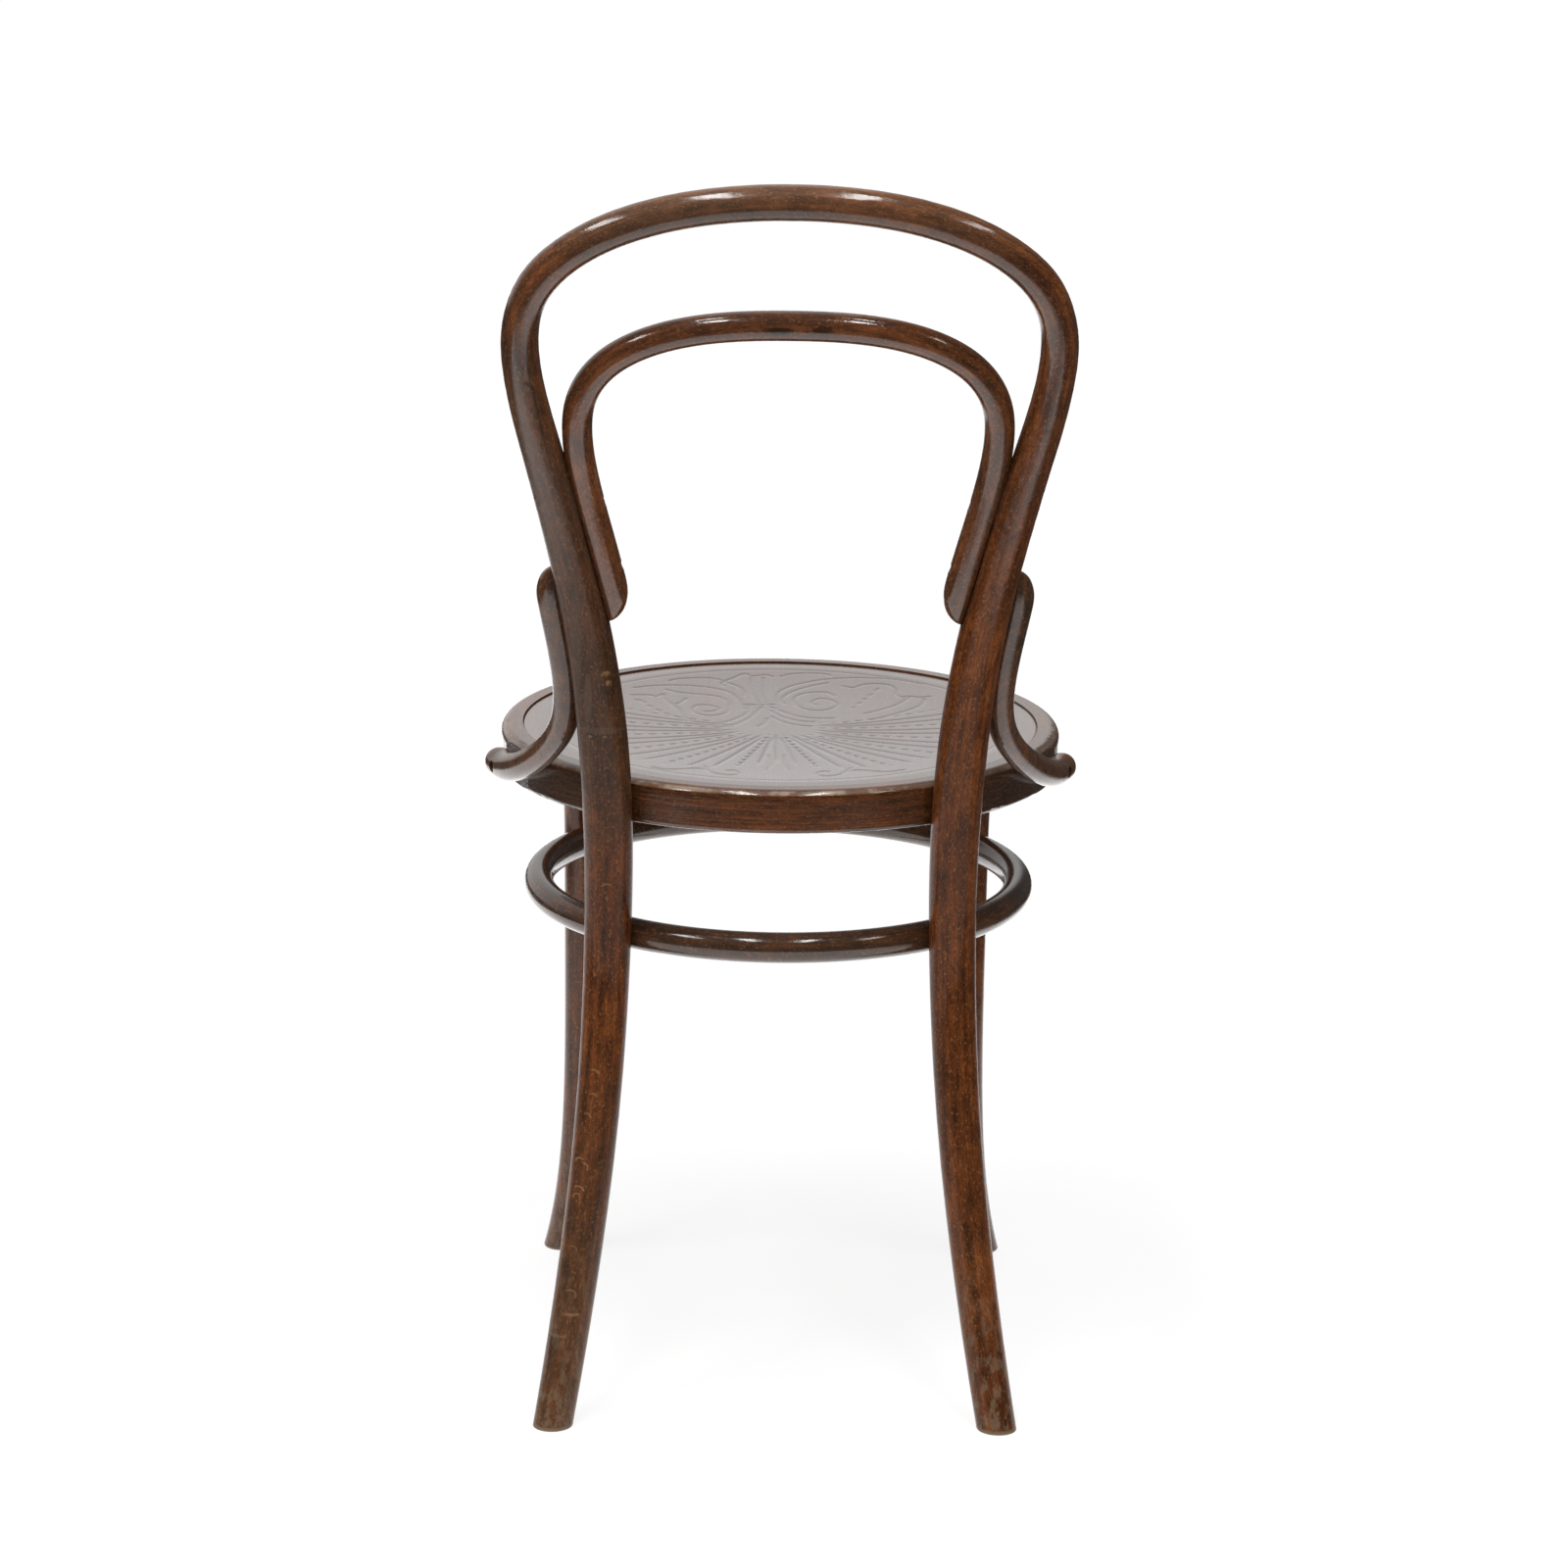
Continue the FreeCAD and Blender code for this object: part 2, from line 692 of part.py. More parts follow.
def leg_block():
    """A block glued inside the seat ring over the front leg's shoulder."""
    outer = ring_inner_radius - fit_gap
    height = seat_underside
    ring = Part.makeCylinder(outer, block_height, Vector(0, 0, height))
    ring = ring.cut(Part.makeCylinder(outer - block_depth, block_height, Vector(0, 0, height)))
    corners = [Vector(0, 0, height)]
    for turn in (-block_half_angle, block_half_angle):
        corners.append(plan_direction(FRONT_TOP_ANGLE + turn) * seat_diameter + UP * height)
    wedge = Part.Face(Part.makePolygon(corners + [corners[0]])).extrude(UP * block_height)
    solid = ring.common(wedge)
    solid.translate(Vector(0, seat_centre_y, 0))
    return solid


def export(name, shapes):
    shape = shapes[0] if len(shapes) == 1 else Part.makeCompound(shapes)
    shape.exportStep("parts/" + name + ".step")
    valid = all(solid.isValid() for solid in shape.Solids)
    print(name, len(shape.Solids), "solids", round(shape.Volume), "mm3, valid:", valid)


export("back_bow", [back_bow()])
export("inner_bow", [inner_bow()])
export("seat_ring", [seat_ring()])
export("seat_panel", [seat_panel()])
export("leg_ring", [leg_ring()])
for name, left in (("front_leg", front_leg()), ("bracket", bracket()), ("leg_block", leg_block())):
    export(name + "_left", [left])
    export(name + "_right", [mirrored(left)])
export("seat_bolts", left_and_right([seat_bolt()]))
export("seat_bolt_nuts", left_and_right([seat_bolt_nut()]))
export("seat_bolt_washers", left_and_right([seat_bolt_washer()]))
export("inner_bow_screws", left_and_right(inner_screws(screw)))
export("leg_ring_screws", left_and_right([leg_ring_screw(angle, screw) for angle in LEG_ANGLES]))
export("bracket_post_screws", left_and_right([bracket_top_screw(screw)]))
export("bracket_seat_screws", left_and_right([bracket_seat_screw(screw)]))
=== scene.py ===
import math

import bpy
import numpy as np
from mathutils import Matrix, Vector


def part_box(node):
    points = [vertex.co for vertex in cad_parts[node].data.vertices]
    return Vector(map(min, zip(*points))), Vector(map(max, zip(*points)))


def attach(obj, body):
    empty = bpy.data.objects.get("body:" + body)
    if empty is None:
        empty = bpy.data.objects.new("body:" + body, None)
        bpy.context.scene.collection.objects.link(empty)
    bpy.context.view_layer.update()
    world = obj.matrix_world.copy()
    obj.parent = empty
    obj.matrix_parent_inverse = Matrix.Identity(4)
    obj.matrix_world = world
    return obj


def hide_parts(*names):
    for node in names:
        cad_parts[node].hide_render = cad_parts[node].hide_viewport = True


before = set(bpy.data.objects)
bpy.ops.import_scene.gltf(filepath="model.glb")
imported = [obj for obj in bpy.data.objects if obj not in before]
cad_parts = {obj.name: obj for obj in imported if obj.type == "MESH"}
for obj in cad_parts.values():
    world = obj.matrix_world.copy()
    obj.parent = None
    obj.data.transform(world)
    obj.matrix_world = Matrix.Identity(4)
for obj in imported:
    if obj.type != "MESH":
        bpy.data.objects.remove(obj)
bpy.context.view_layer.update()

# A bentwood bistro chair, in metres: the floor is z = 0, the sitter faces -Y with +X on their
# left, and the photo was taken from +Y. The solids come from the frame. This script gives them
# their finishes, and redraws the seat panel with its pressed ornament.

ring_low, ring_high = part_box("seat_ring")
panel_low, panel_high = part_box("seat_panel")
SEAT_Y = (ring_low[1] + ring_high[1]) / 2
SEAT_TOP = ring_high[2]
PANEL_TOP = panel_high[2]
PANEL_RIM = (panel_high[0] - panel_low[0]) / 2

# The lines that the grain follows. An arch springs from its widest place and rises from there.
BACK_ARCH = {"Half Width": 0.178, "Spring": 0.7838, "Rise": 0.0946}
INNER_ARCH = {"Half Width": 0.1407, "Spring": 0.7176, "Rise": 0.076}
INNER_END_HEIGHT, INNER_END_X = 0.57, 0.108
SEAT_RING_RADIUS = 0.195
LEG_RING_RADIUS = 0.1756

# The middle of a rear leg and its post: height, distance from x = 0, and y
POST_LINE = [(0.0, 0.157, 0.1704), (0.1, 0.1401, 0.141), (0.2, 0.1285, 0.1206),
             (0.34, 0.1223, 0.1099), (0.4448, 0.1216, 0.1311), (0.5708, 0.1338, 0.157),
             (0.7138, 0.1671, 0.193), (0.7838, 0.178, 0.211), (0.88, 0.178, 0.241)]
# What brings these three into the range of a curve node, from 0 to 1
CURVE_HEIGHT, CURVE_X, CURVE_Y = 0.9, 5.0, 4.0


def linear(red, green, blue):
    """A colour as it looks on screen, 0 to 255, as the linear colour that a shader takes."""
    values = []
    for value in (red, green, blue):
        share = value / 255
        values.append(share / 12.92 if share < 0.04045 else ((share + 0.055) / 1.055) ** 2.4)
    return (*values, 1.0)


# Stained beech, from its darkest tone to its palest, with its flecks and the grey of its dust,
# which also paints a grey reflection on top of the seat ring's right half
STAIN = [(0.52, linear(46, 23, 10)), (0.68, linear(90, 48, 22)),
         (0.80, linear(122, 66, 30)), (0.98, linear(160, 102, 56))]
PALE_FLECK = linear(172, 118, 72)
DARK_FLECK = linear(36, 18, 9)
GREY_DUST_AND_SHEEN = linear(102, 85, 69)

# What wear leaves of the finish. Two of these also paint highlights: along the seat ring's top edge
# and along the feet's bottom edge.
# This wear colour also paints the highlight along the feet's bottom edge
WORN_AND_EDGE_HIGHLIGHT = linear(126, 106, 84)
PALE = linear(176, 128, 88)
DULL = linear(104, 84, 70)
SMUDGE = linear(40, 26, 18)
# Pale wear along the seat ring's top edge, which also paints the highlight there
RUBBED_EDGE_AND_HIGHLIGHT = linear(178, 156, 136)

# Beech left bare, the panel's veneer and its pressed lines, and steel with its rust
RAW_BEECH = [(0.3, linear(150, 112, 76)), (0.7, linear(196, 160, 118))]
RAW_FLECK = linear(120, 82, 52)
VENEER = linear(66, 42, 30)
VENEER_LINE = linear(32, 19, 13)
STEEL = linear(140, 134, 124)
RUST = linear(92, 62, 42)

# Noise waves per metre across, through and along the wood
CLOUDS = (26.0, 26.0, 11.0)
BLOTCHES = (110.0, 110.0, 50.0)
STREAKS = (260.0, 260.0, 6.0)
FIBRES = (1200.0, 1200.0, 40.0)
PALE_FLECKS = (700.0, 700.0, 400.0)
DARK_FLECKS = (800.0, 800.0, 300.0)
RAW_FIBRES = (30.0, 300.0, 900.0)
RAW_FLECKS = (200.0, 900.0, 1500.0)

# Noise waves per metre of wear, of rust and of the floor's paper
RUBBED_WAVES = (900.0, 900.0, 500.0)
NICK_WAVES = (1500.0, 1500.0, 1500.0)
FOOT_WAVES = (190.0, 190.0, 75.0)
EDGE_WAVES = (60.0, 60.0, 60.0)
RUST_WAVES = (400.0, 400.0, 400.0)
PAPER_WAVES = (900.0, 900.0, 900.0)

# Shellac: how strongly the wood's ripple shows under the coat and in it, how deep it is in
# metres, and how smooth the coat is. The pressed panel has its own values.
WOOD_BUMP = 0.6
COAT_BUMP = 0.22
RIPPLE = 0.00012
WOOD_SHINE = 0.05
COAT_ROUGHNESS = 0.11
COAT_IOR = 1.5
VENEER_BUMP = 0.4
VENEER_RIPPLE = 0.00005
VENEER_COAT_ROUGHNESS = 0.12
VENEER_SHARE = 0.7
LINE_STAIN = 0.55


class Graph:
    """Adds and joins the nodes of one node tree. A value is a number or a socket."""

    def __init__(self, tree):
        self.tree = tree

    def add(self, kind, inputs=None, **settings):
        """A new node, with values for some of its inputs."""
        node = self.tree.nodes.new(kind)
        for name, value in settings.items():
            setattr(node, name, value)
        for name, value in (inputs or {}).items():
            self.feed(node.inputs[name], value)
        return node

    def feed(self, socket, value):
        """Joins a socket to an input, or writes a plain value into it."""
        if isinstance(value, bpy.types.NodeSocket):
            self.tree.links.new(value, socket)
        else:
            socket.default_value = value

    def math(self, operation, *terms):
        """A step of arithmetic on numbers."""
        return self.add("ShaderNodeMath", dict(enumerate(terms)), operation=operation).outputs[0]

    def times(self, product, *factors):
        """Values multiplied."""
        for factor in factors:
            product = self.math("MULTIPLY", product, factor)
        return product

    def weighted(self, total, *parts):
        """A value with shares of others added, each given as a value and its share."""
        for value, share in parts:
            total = self.math("MULTIPLY_ADD", value, share, total)
        return total

    def vectors(self, operation, *terms):
        """A step of arithmetic on vectors, part by part."""
        node = self.add("ShaderNodeVectorMath", dict(enumerate(terms)), operation=operation)
        return node.outputs["Vector"]

    def length(self, vector):
        """How long a vector is."""
        return self.add("ShaderNodeVectorMath", {0: vector}, operation="LENGTH").outputs["Value"]

    def hypot(self, first, second):
        """How long a vector with these two parts is."""
        return self.length(self.vector(first, second, 0.0))

    def noise(self, vector, waves, detail=2.0, rough=0.5, distortion=0.0):
        """Noise from 0 to 1, with so many waves per metre along each part of the vector."""
        inputs = {"Vector": self.vectors("MULTIPLY", vector, waves), "Scale": 1.0,
                  "Detail": detail, "Roughness": rough, "Distortion": distortion}
        return self.add("ShaderNodeTexNoise", inputs).outputs["Fac"]

    def uneven(self, value, waves, reach, detail=2.0):
        """A value that noise moves by as much as reach either way."""
        noise = self.noise(self.place(), waves, detail)
        return self.math("ADD", value, self.between(noise, -reach, reach))

    def band(self, value, low, high):
        """0 below low and 1 above high, with a soft step between."""
        node = self.add("ShaderNodeMapRange", {"Value": value, "From Min": low, "From Max": high},
                        interpolation_type="SMOOTHSTEP")
        return node.outputs["Result"]

    def falling(self, value, low, high):
        """1 below low and 0 above high, with a soft step between."""
        return self.band(value, high, low)

    def between(self, value, start, end, low=0.0, high=1.0):
        """start where value is low and end where it is high."""
        inputs = {"Value": value, "From Min": low, "From Max": high, "To Min": start, "To Max": end}
        return self.add("ShaderNodeMapRange", inputs).outputs["Result"]

    def mix(self, factor, first, second):
        """The first colour where factor is 0 and the second where it is 1."""
        node = self.add("ShaderNodeMix", data_type="RGBA")
        for name, value in (("Factor_Float", factor), ("A_Color", first), ("B_Color", second)):
            self.feed(next(i for i in node.inputs if i.identifier == name), value)
        return next(o for o in node.outputs if o.identifier == "Result_Color")

    def ramp(self, value, stops):
        """A colour read from stops, each a value and its colour."""
        node = self.add("ShaderNodeValToRGB", {"Fac": value})
        points = node.color_ramp.elements
        points[0].position, points[0].color = stops[0]
        points[1].position, points[1].color = stops[-1]
        for position, colour in stops[1:-1]:
            points.new(position).color = colour
        return node.outputs["Color"]

    def curve(self, value, points):
        """A smooth line through points, each a share from 0 to 1 and its value from 0 to 1."""
        node = self.add("ShaderNodeFloatCurve", {"Value": value})
        line = node.mapping.curves[0].points
        line[0].location = points[0]
        line[1].location = points[-1]
        for point in points[1:-1]:
            line.new(*point)
        node.mapping.update()
        return node.outputs[0]

    def place(self):
        """Where the surface is, in metres."""
        return self.add("ShaderNodeTexCoord").outputs["Object"]

    def parts(self, vector):
        """The x, y and z of a vector."""
        return self.add("ShaderNodeSeparateXYZ", {0: vector}).outputs

    def vector(self, x, y, z):
        """A vector from its parts."""
        return self.add("ShaderNodeCombineXYZ", {0: x, 1: y, 2: z}).outputs[0]

    def use(self, effect, inputs):
        """The outputs of a node group, placed with its own inputs."""
        node = self.add("ShaderNodeGroup", node_tree=effect)
        for name, value in inputs.items():
            self.feed(node.inputs[name], value)
        return node.outputs

    def bump(self, height, distance, strength):
        """The normal of a surface with this height."""
        inputs = {"Height": height, "Distance": distance, "Strength": strength}
        return self.add("ShaderNodeBump", inputs).outputs[0]


def group(name, inputs, outputs, build):
    """A shader node group. build takes a Graph and the inputs, and returns the outputs."""
    tree = bpy.data.node_groups.new(name, "ShaderNodeTree")
    for label, (kind, value) in inputs.items():
        socket = tree.interface.new_socket(label, in_out="INPUT", socket_type=kind)
        if value is not None:
            socket.default_value = value
    for label, kind in outputs.items():
        tree.interface.new_socket(label, in_out="OUTPUT", socket_type=kind)
    graph = Graph(tree)
    start = graph.add("NodeGroupInput")
    end = graph.add("NodeGroupOutput")
    for label, socket in build(graph, start.outputs).items():
        graph.feed(end.inputs[label], socket)
    return tree


def along_bow(graph, given):
    """Straightens a bent bow: across, through and along it, in metres.

    Above the spring the bow is an ellipse, and its turn times its half width is the length
    along it. Below, the posts run down, and the length goes on with the height.
    """
    x, y, z = graph.parts(graph.place())
    up = graph.math("SUBTRACT", z, given["Spring"])
    over = graph.math("MAXIMUM", up, 0.0)
    under = graph.math("MINIMUM", up, 0.0)
    wide = graph.math("DIVIDE", x, given["Half Width"])
    high = graph.math("DIVIDE", over, given["Rise"])
    share = graph.hypot(wide, high)
    radius = graph.hypot(x, over)
    arch = graph.math("SUBTRACT", radius, graph.math("DIVIDE", radius, share))
    post = graph.math("SUBTRACT", graph.math("ABSOLUTE", x), given["Post X"])
    across = graph.between(graph.math("GREATER_THAN", up, 0.0), post, arch)
    depth = graph.math("SUBTRACT", y, given["Post Y"])
    turn = graph.math("ARCTAN2", high, wide)
    length = graph.weighted(graph.times(turn, given["Half Width"]),
                            (under, graph.math("SIGN", x)))
    return {"Line": graph.vector(across, depth, length)}


def along_hoop(graph, given):
    """Straightens a ring about the seat's axis: outwards, up and along it, in metres."""
    x, y, z = graph.parts(graph.place())
    back = graph.math("SUBTRACT", y, SEAT_Y)
    outward = graph.math("SUBTRACT", graph.hypot(x, back), given["Radius"])
    turn = graph.math("ARCTAN2", x, back)
    return {"Line": graph.vector(outward, z, graph.times(turn, given["Radius"]))}


def beech(graph, given):
    """Beech under a dark walnut stain: clouds and streaks, fine fibres, and the short dark and
    pale flecks of its rays. Dust greys it, as old scuffed shellac does, and the same grey also
    paints a reflection on top of the seat ring's right half."""
    line = given["Line"]
    cloud = graph.noise(line, CLOUDS, 4.0, 0.6)
    blotch = graph.noise(line, BLOTCHES, 5.0, 0.68, 0.6)
    streak = graph.noise(line, STREAKS)
    fibre = graph.noise(line, FIBRES, 3.0, 0.65)
    pale = graph.band(graph.noise(line, PALE_FLECKS, rough=0.6), 0.56, 0.70)
    dark = graph.band(graph.noise(line, DARK_FLECKS, rough=0.6), 0.53, 0.68)
    tone = graph.weighted(given["Tone"], (cloud, 0.34), (blotch, 0.52), (streak, 0.38),
                          (fibre, 0.26))
    colour = graph.ramp(tone, STAIN)
    colour = graph.mix(graph.times(pale, 0.42), colour, PALE_FLECK)
    colour = graph.mix(graph.times(dark, 0.60), colour, DARK_FLECK)
    haze = graph.times(given["Dust And Sheen"], graph.between(blotch, 0.4, 1.5))
    colour = graph.mix(haze, colour, GREY_DUST_AND_SHEEN)
    rough = graph.math("ADD", graph.between(fibre, 0.30, 0.44), graph.between(cloud, -0.05, 0.07))
    height = graph.weighted(0.0, (fibre, 0.6), (dark, -0.6), (blotch, 1.4))
    return {"Colour": colour, "Roughness": rough, "Height": height}


def from_place(graph, given):
    """How far the surface is from Place, as shares of Size."""
    offset = graph.vectors("SUBTRACT", graph.place(), given["Place"])
    return graph.vectors("DIVIDE", offset, given["Size"])


def rubbed(graph, given):
    """Wear inside an ellipsoid of Size round Place, with an uneven edge."""
    away = graph.length(from_place(graph, given))
    return {"Mask": graph.falling(graph.uneven(away, RUBBED_WAVES, 0.35), 0.6, 1.0)}


def nick(graph, given):
    """A thin curved dent: the part of an ellipse's outline, in x and z, that lies above Cut
    once it is turned by Lean."""
    x, y, z = graph.parts(from_place(graph, given))
    off = graph.math("ABSOLUTE", graph.math("SUBTRACT", graph.hypot(x, z), 1.0))
    outline = graph.falling(graph.uneven(off, NICK_WAVES, 0.15, 1.0), 0.12, 0.34)
    turned = graph.weighted(z, (x, given["Lean"]))
    shown = graph.band(turned, given["Cut"], graph.math("ADD", given["Cut"], 0.4))
    near = graph.math("LESS_THAN", graph.math("ABSOLUTE", y), 1.0)
    return {"Mask": graph.times(outline, shown, near)}


def foot_wear_and_edge_highlight(graph, given):
    """Wear of the finish near the floor in uneven patches, and more on the foot's very edge,
    where the pale band is also a painted highlight.
    """
    place = graph.place()
    height = graph.parts(place)[2]
    patches = graph.band(graph.noise(place, FOOT_WAVES, 4.0, 0.65), 0.46, 0.62)
    soft = graph.times(patches, graph.falling(height, 0.0, 0.16), 0.8)
    # The foot's bottom edge: wear, and a painted highlight
    edge = graph.times(graph.falling(height, 0.0015, 0.0035), 1.3)
    return {"Mask": graph.math("MAXIMUM", soft, edge)}


FLOAT, COLOUR, VECTOR = "NodeSocketFloat", "NodeSocketColor", "NodeSocketVector"

BOW_LINE = group("bow_line",
                 {"Half Width": (FLOAT, 0.18), "Rise": (FLOAT, 0.09), "Spring": (FLOAT, 0.78),
                  "Post X": (FLOAT, 0.15), "Post Y": (FLOAT, 0.2)},
                 {"Line": VECTOR}, along_bow)
HOOP_LINE = group("hoop_line", {"Radius": (FLOAT, 0.2)}, {"Line": VECTOR}, along_hoop)
BEECH = group("stained_beech_grain",
              {"Line": (VECTOR, None), "Tone": (FLOAT, 0.0), "Dust And Sheen": (FLOAT, 0.0)},
              {"Colour": COLOUR, "Roughness": FLOAT, "Height": FLOAT}, beech)
RUBBED = group("rubbed_spot", {"Place": (VECTOR, None), "Size": (VECTOR, None)},
               {"Mask": FLOAT}, rubbed)
NICK = group("thin_nick",
             {"Place": (VECTOR, None), "Size": (VECTOR, None), "Lean": (FLOAT, 0.0),
              "Cut": (FLOAT, 0.0)},
             {"Mask": FLOAT}, nick)
FOOT_WEAR_AND_EDGE_HIGHLIGHT = group("foot_wear_and_edge_highlight", {}, {"Mask": FLOAT}, foot_wear_and_edge_highlight)


def post_lines(graph):
    """The posts' middle line at this height, as its distance from x = 0 and its y."""
    share = graph.math("DIVIDE", graph.parts(graph.place())[2], CURVE_HEIGHT)
    x = graph.curve(share, [(z / CURVE_HEIGHT, x * CURVE_X) for z, x, y in POST_LINE])
    y = graph.curve(share, [(z / CURVE_HEIGHT, y * CURVE_Y) for z, x, y in POST_LINE])
    return graph.math("DIVIDE", x, CURVE_X), graph.math("DIVIDE", y, CURVE_Y)


def bow_line(graph):
    """Grain along the back bow: its arch, and both posts down to the feet."""
    x, y = post_lines(graph)
    return graph.use(BOW_LINE, {**BACK_ARCH, "Post X": x, "Post Y": y})["Line"]


def inner_line(graph):
    """Grain along the inner bow: its arch, and down to its ends beside the posts."""
    height = graph.parts(graph.place())[2]
    x = graph.between(height, INNER_END_X, INNER_ARCH["Half Width"],
                      INNER_END_HEIGHT, INNER_ARCH["Spring"])
    return graph.use(BOW_LINE, {**INNER_ARCH, "Post X": x, "Post Y": post_lines(graph)[1]})["Line"]


def hoop_line(radius, fine=1.0):
    """Grain along a ring of this radius, drawn finer across by a factor."""
    def line(graph):
        hoop = graph.use(HOOP_LINE, {"Radius": radius})["Line"]
        return graph.vectors("MULTIPLY", hoop, (fine, fine, 1.0))
    return line


def upright_line(graph):
    """Grain that runs straight up."""
    return graph.place()


def panel_line(graph):
    """Veneer grain that runs from the seat's front to its rear."""
    x, y, z = graph.parts(graph.place())
    return graph.vector(x, z, y)


def plain_look(tone, dust_and_sheen, gloss=1.0):
    """A look with an even tone, dust and gloss."""
    return lambda graph: (tone, dust_and_sheen, gloss)


def bow_look(graph):
    """The back bow: darkest on the left post, dusty there, on the shoulders, the crown and low
    on the left leg, and glossy only above the posts."""
    x, _, z = graph.parts(graph.place())
    left = graph.band(x, -0.05, 0.05)
    left_post = graph.times(left, graph.band(z, 0.37, 0.50), graph.falling(z, 0.66, 0.80))
    shoulder = graph.times(graph.band(z, 0.60, 0.76), graph.between(left, 0.5, 1.0))
    crown = graph.band(z, 0.83, 0.875)
    leg = graph.falling(z, 0.06, 0.34)
    leg_dust = graph.between(left, 0.05, 0.32)
    tone = graph.weighted(-0.045, (left_post, -0.11), (shoulder, -0.025), (crown, -0.01),
                          (left, -0.01), (leg, -0.02))
    dust_and_sheen = graph.weighted(0.0, (left_post, 0.24), (shoulder, 0.14), (crown, 0.22),
                          (leg, leg_dust))
    polish = graph.between(graph.band(z, 0.54, 0.74), 0.16, 1.0)
    return tone, dust_and_sheen, graph.times(polish, graph.between(crown, 1.0, 0.75))


def ring_look(graph):
    """The seat ring: darker and greyer outside the posts, and a painted grey reflection on top of
    its right half.
    """
    x, y, z = graph.parts(graph.place())
    outside = graph.times(graph.band(graph.math("ABSOLUTE", x), 0.07, 0.14),
                          graph.band(y, -0.05, 0.06))
    top = graph.band(z, SEAT_TOP - 0.003, SEAT_TOP)
    # Painted grey reflection on the top face of the ring's right half
    right_top_reflection = graph.times(top, graph.falling(x, -0.06, 0.02))
    return (graph.weighted(-0.085, (outside, -0.13)),
            graph.weighted(0.04, (outside, 0.14), (right_top_reflection, 0.3)), 1.0)


def ring_edge_wear_and_highlight(graph):
    """Finish rubbed thin along the rounded outer top edge of the seat ring, in uneven lengths
    and mostly between the posts. The pale line also paints the highlight along that edge."""
    place = graph.place()
    x, y, _ = graph.parts(place)
    across = graph.hypot(x, graph.math("SUBTRACT", y, SEAT_Y))
    outer = graph.band(across, PANEL_RIM + 0.008, PANEL_RIM + 0.012)
    open_run = graph.times(graph.band(y, 0.0, 0.1),
                           graph.falling(graph.math("ABSOLUTE", x), 0.10, 0.13))
    slope = graph.parts(graph.add("ShaderNodeNewGeometry").outputs["Normal"])[2]
    rounded = graph.times(graph.band(slope, 0.45, 0.68), graph.falling(slope, 0.84, 0.96))
    patches = graph.band(graph.noise(place, EDGE_WAVES, 4.0, 0.6), 0.40, 0.60)
    return graph.times(outer, graph.between(open_run, 0.3, 1.0), rounded,
                       graph.between(patches, 0.2, 0.8))


def shader(name):
    """A new material with its Graph and its Principled shader."""
    material = bpy.data.materials.new(name)
    material.use_nodes = True
    graph = Graph(material.node_tree)
    surface = next(node for node in material.node_tree.nodes if node.type == "BSDF_PRINCIPLED")
    return material, graph, surface


def wood(name, line_of, look, spots=(), nicks=(), feet=False, edge=None):
    """A finish of stained beech with shellac, whose grain runs along line_of(graph)."""
    material, graph, surface = shader(name)
    # The dust share also carries the painted grey reflection on the seat ring's top
    tone, dust_and_sheen, gloss = look(graph)
    grain = graph.use(BEECH, {"Line": line_of(graph), "Tone": tone, "Dust And Sheen": dust_and_sheen})
    colour, rough = grain["Colour"], grain["Roughness"]
    if feet:
        # Wear near the floor, with a painted highlight on the feet's bottom edge
        wear_and_edge_highlight = graph.use(FOOT_WEAR_AND_EDGE_HIGHLIGHT, {})["Mask"]
        colour = graph.mix(graph.times(wear_and_edge_highlight, 0.75), colour, WORN_AND_EDGE_HIGHLIGHT)
        rough = graph.weighted(rough, (wear_and_edge_highlight, 0.2))
    # The edge mask is wear that also paints a highlight
    if edge:
        colour = graph.mix(edge(graph), colour, RUBBED_EDGE_AND_HIGHLIGHT)
    for place, size, amount, bare in spots:
        mask = graph.use(RUBBED, {"Place": place, "Size": size})["Mask"]
        colour = graph.mix(graph.times(mask, amount), colour, bare)
    for place, size, lean, cut, amount in nicks:
        mask = graph.use(NICK, {"Place": place, "Size": size, "Lean": lean, "Cut": cut})["Mask"]
        colour = graph.mix(graph.times(mask, amount), colour, PALE)
    for socket, strength in (("Normal", WOOD_BUMP), ("Coat Normal", COAT_BUMP)):
        graph.feed(surface.inputs[socket], graph.bump(grain["Height"], RIPPLE, strength))
    graph.feed(surface.inputs["Base Color"], colour)
    graph.feed(surface.inputs["Roughness"], rough)
    surface.inputs["Specular IOR Level"].default_value = WOOD_SHINE
    graph.feed(surface.inputs["Coat Weight"], gloss)
    surface.inputs["Coat Roughness"].default_value = COAT_ROUGHNESS
    surface.inputs["Coat IOR"].default_value = COAT_IOR
    return material


def steel():
    """Old plated steel, dull and mottled with rust."""
    material, graph, surface = shader("old_steel")
    rust = graph.band(graph.noise(graph.place(), RUST_WAVES, 4.0, 0.65), 0.48, 0.62)
    graph.feed(surface.inputs["Base Color"], graph.mix(rust, STEEL, RUST))
    graph.feed(surface.inputs["Roughness"], graph.between(rust, 0.34, 0.75))
    graph.feed(surface.inputs["Metallic"], graph.between(rust, 1.0, 0.2))
    return material


def raw_beech():
    """Unstained, unpolished beech of the blocks, with straight grain and darker flecks."""
    material, graph, surface = shader("raw_beech")
    place = graph.place()
    fibre = graph.noise(place, RAW_FIBRES, 3.0, 0.6)
    fleck = graph.band(graph.noise(place, RAW_FLECKS, 1.0), 0.6, 0.7)
    colour = graph.mix(graph.times(fleck, 0.5), graph.ramp(fibre, RAW_BEECH), RAW_FLECK)
    graph.feed(surface.inputs["Base Color"], colour)
    graph.feed(surface.inputs["Roughness"], graph.between(fibre, 0.65, 0.8))
    return material


def finish(nodes, material):
    """Gives CAD nodes a material in their slots."""
    for name in nodes:
        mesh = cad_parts[name].data
        mesh.materials.clear()
        mesh.materials.append(material)


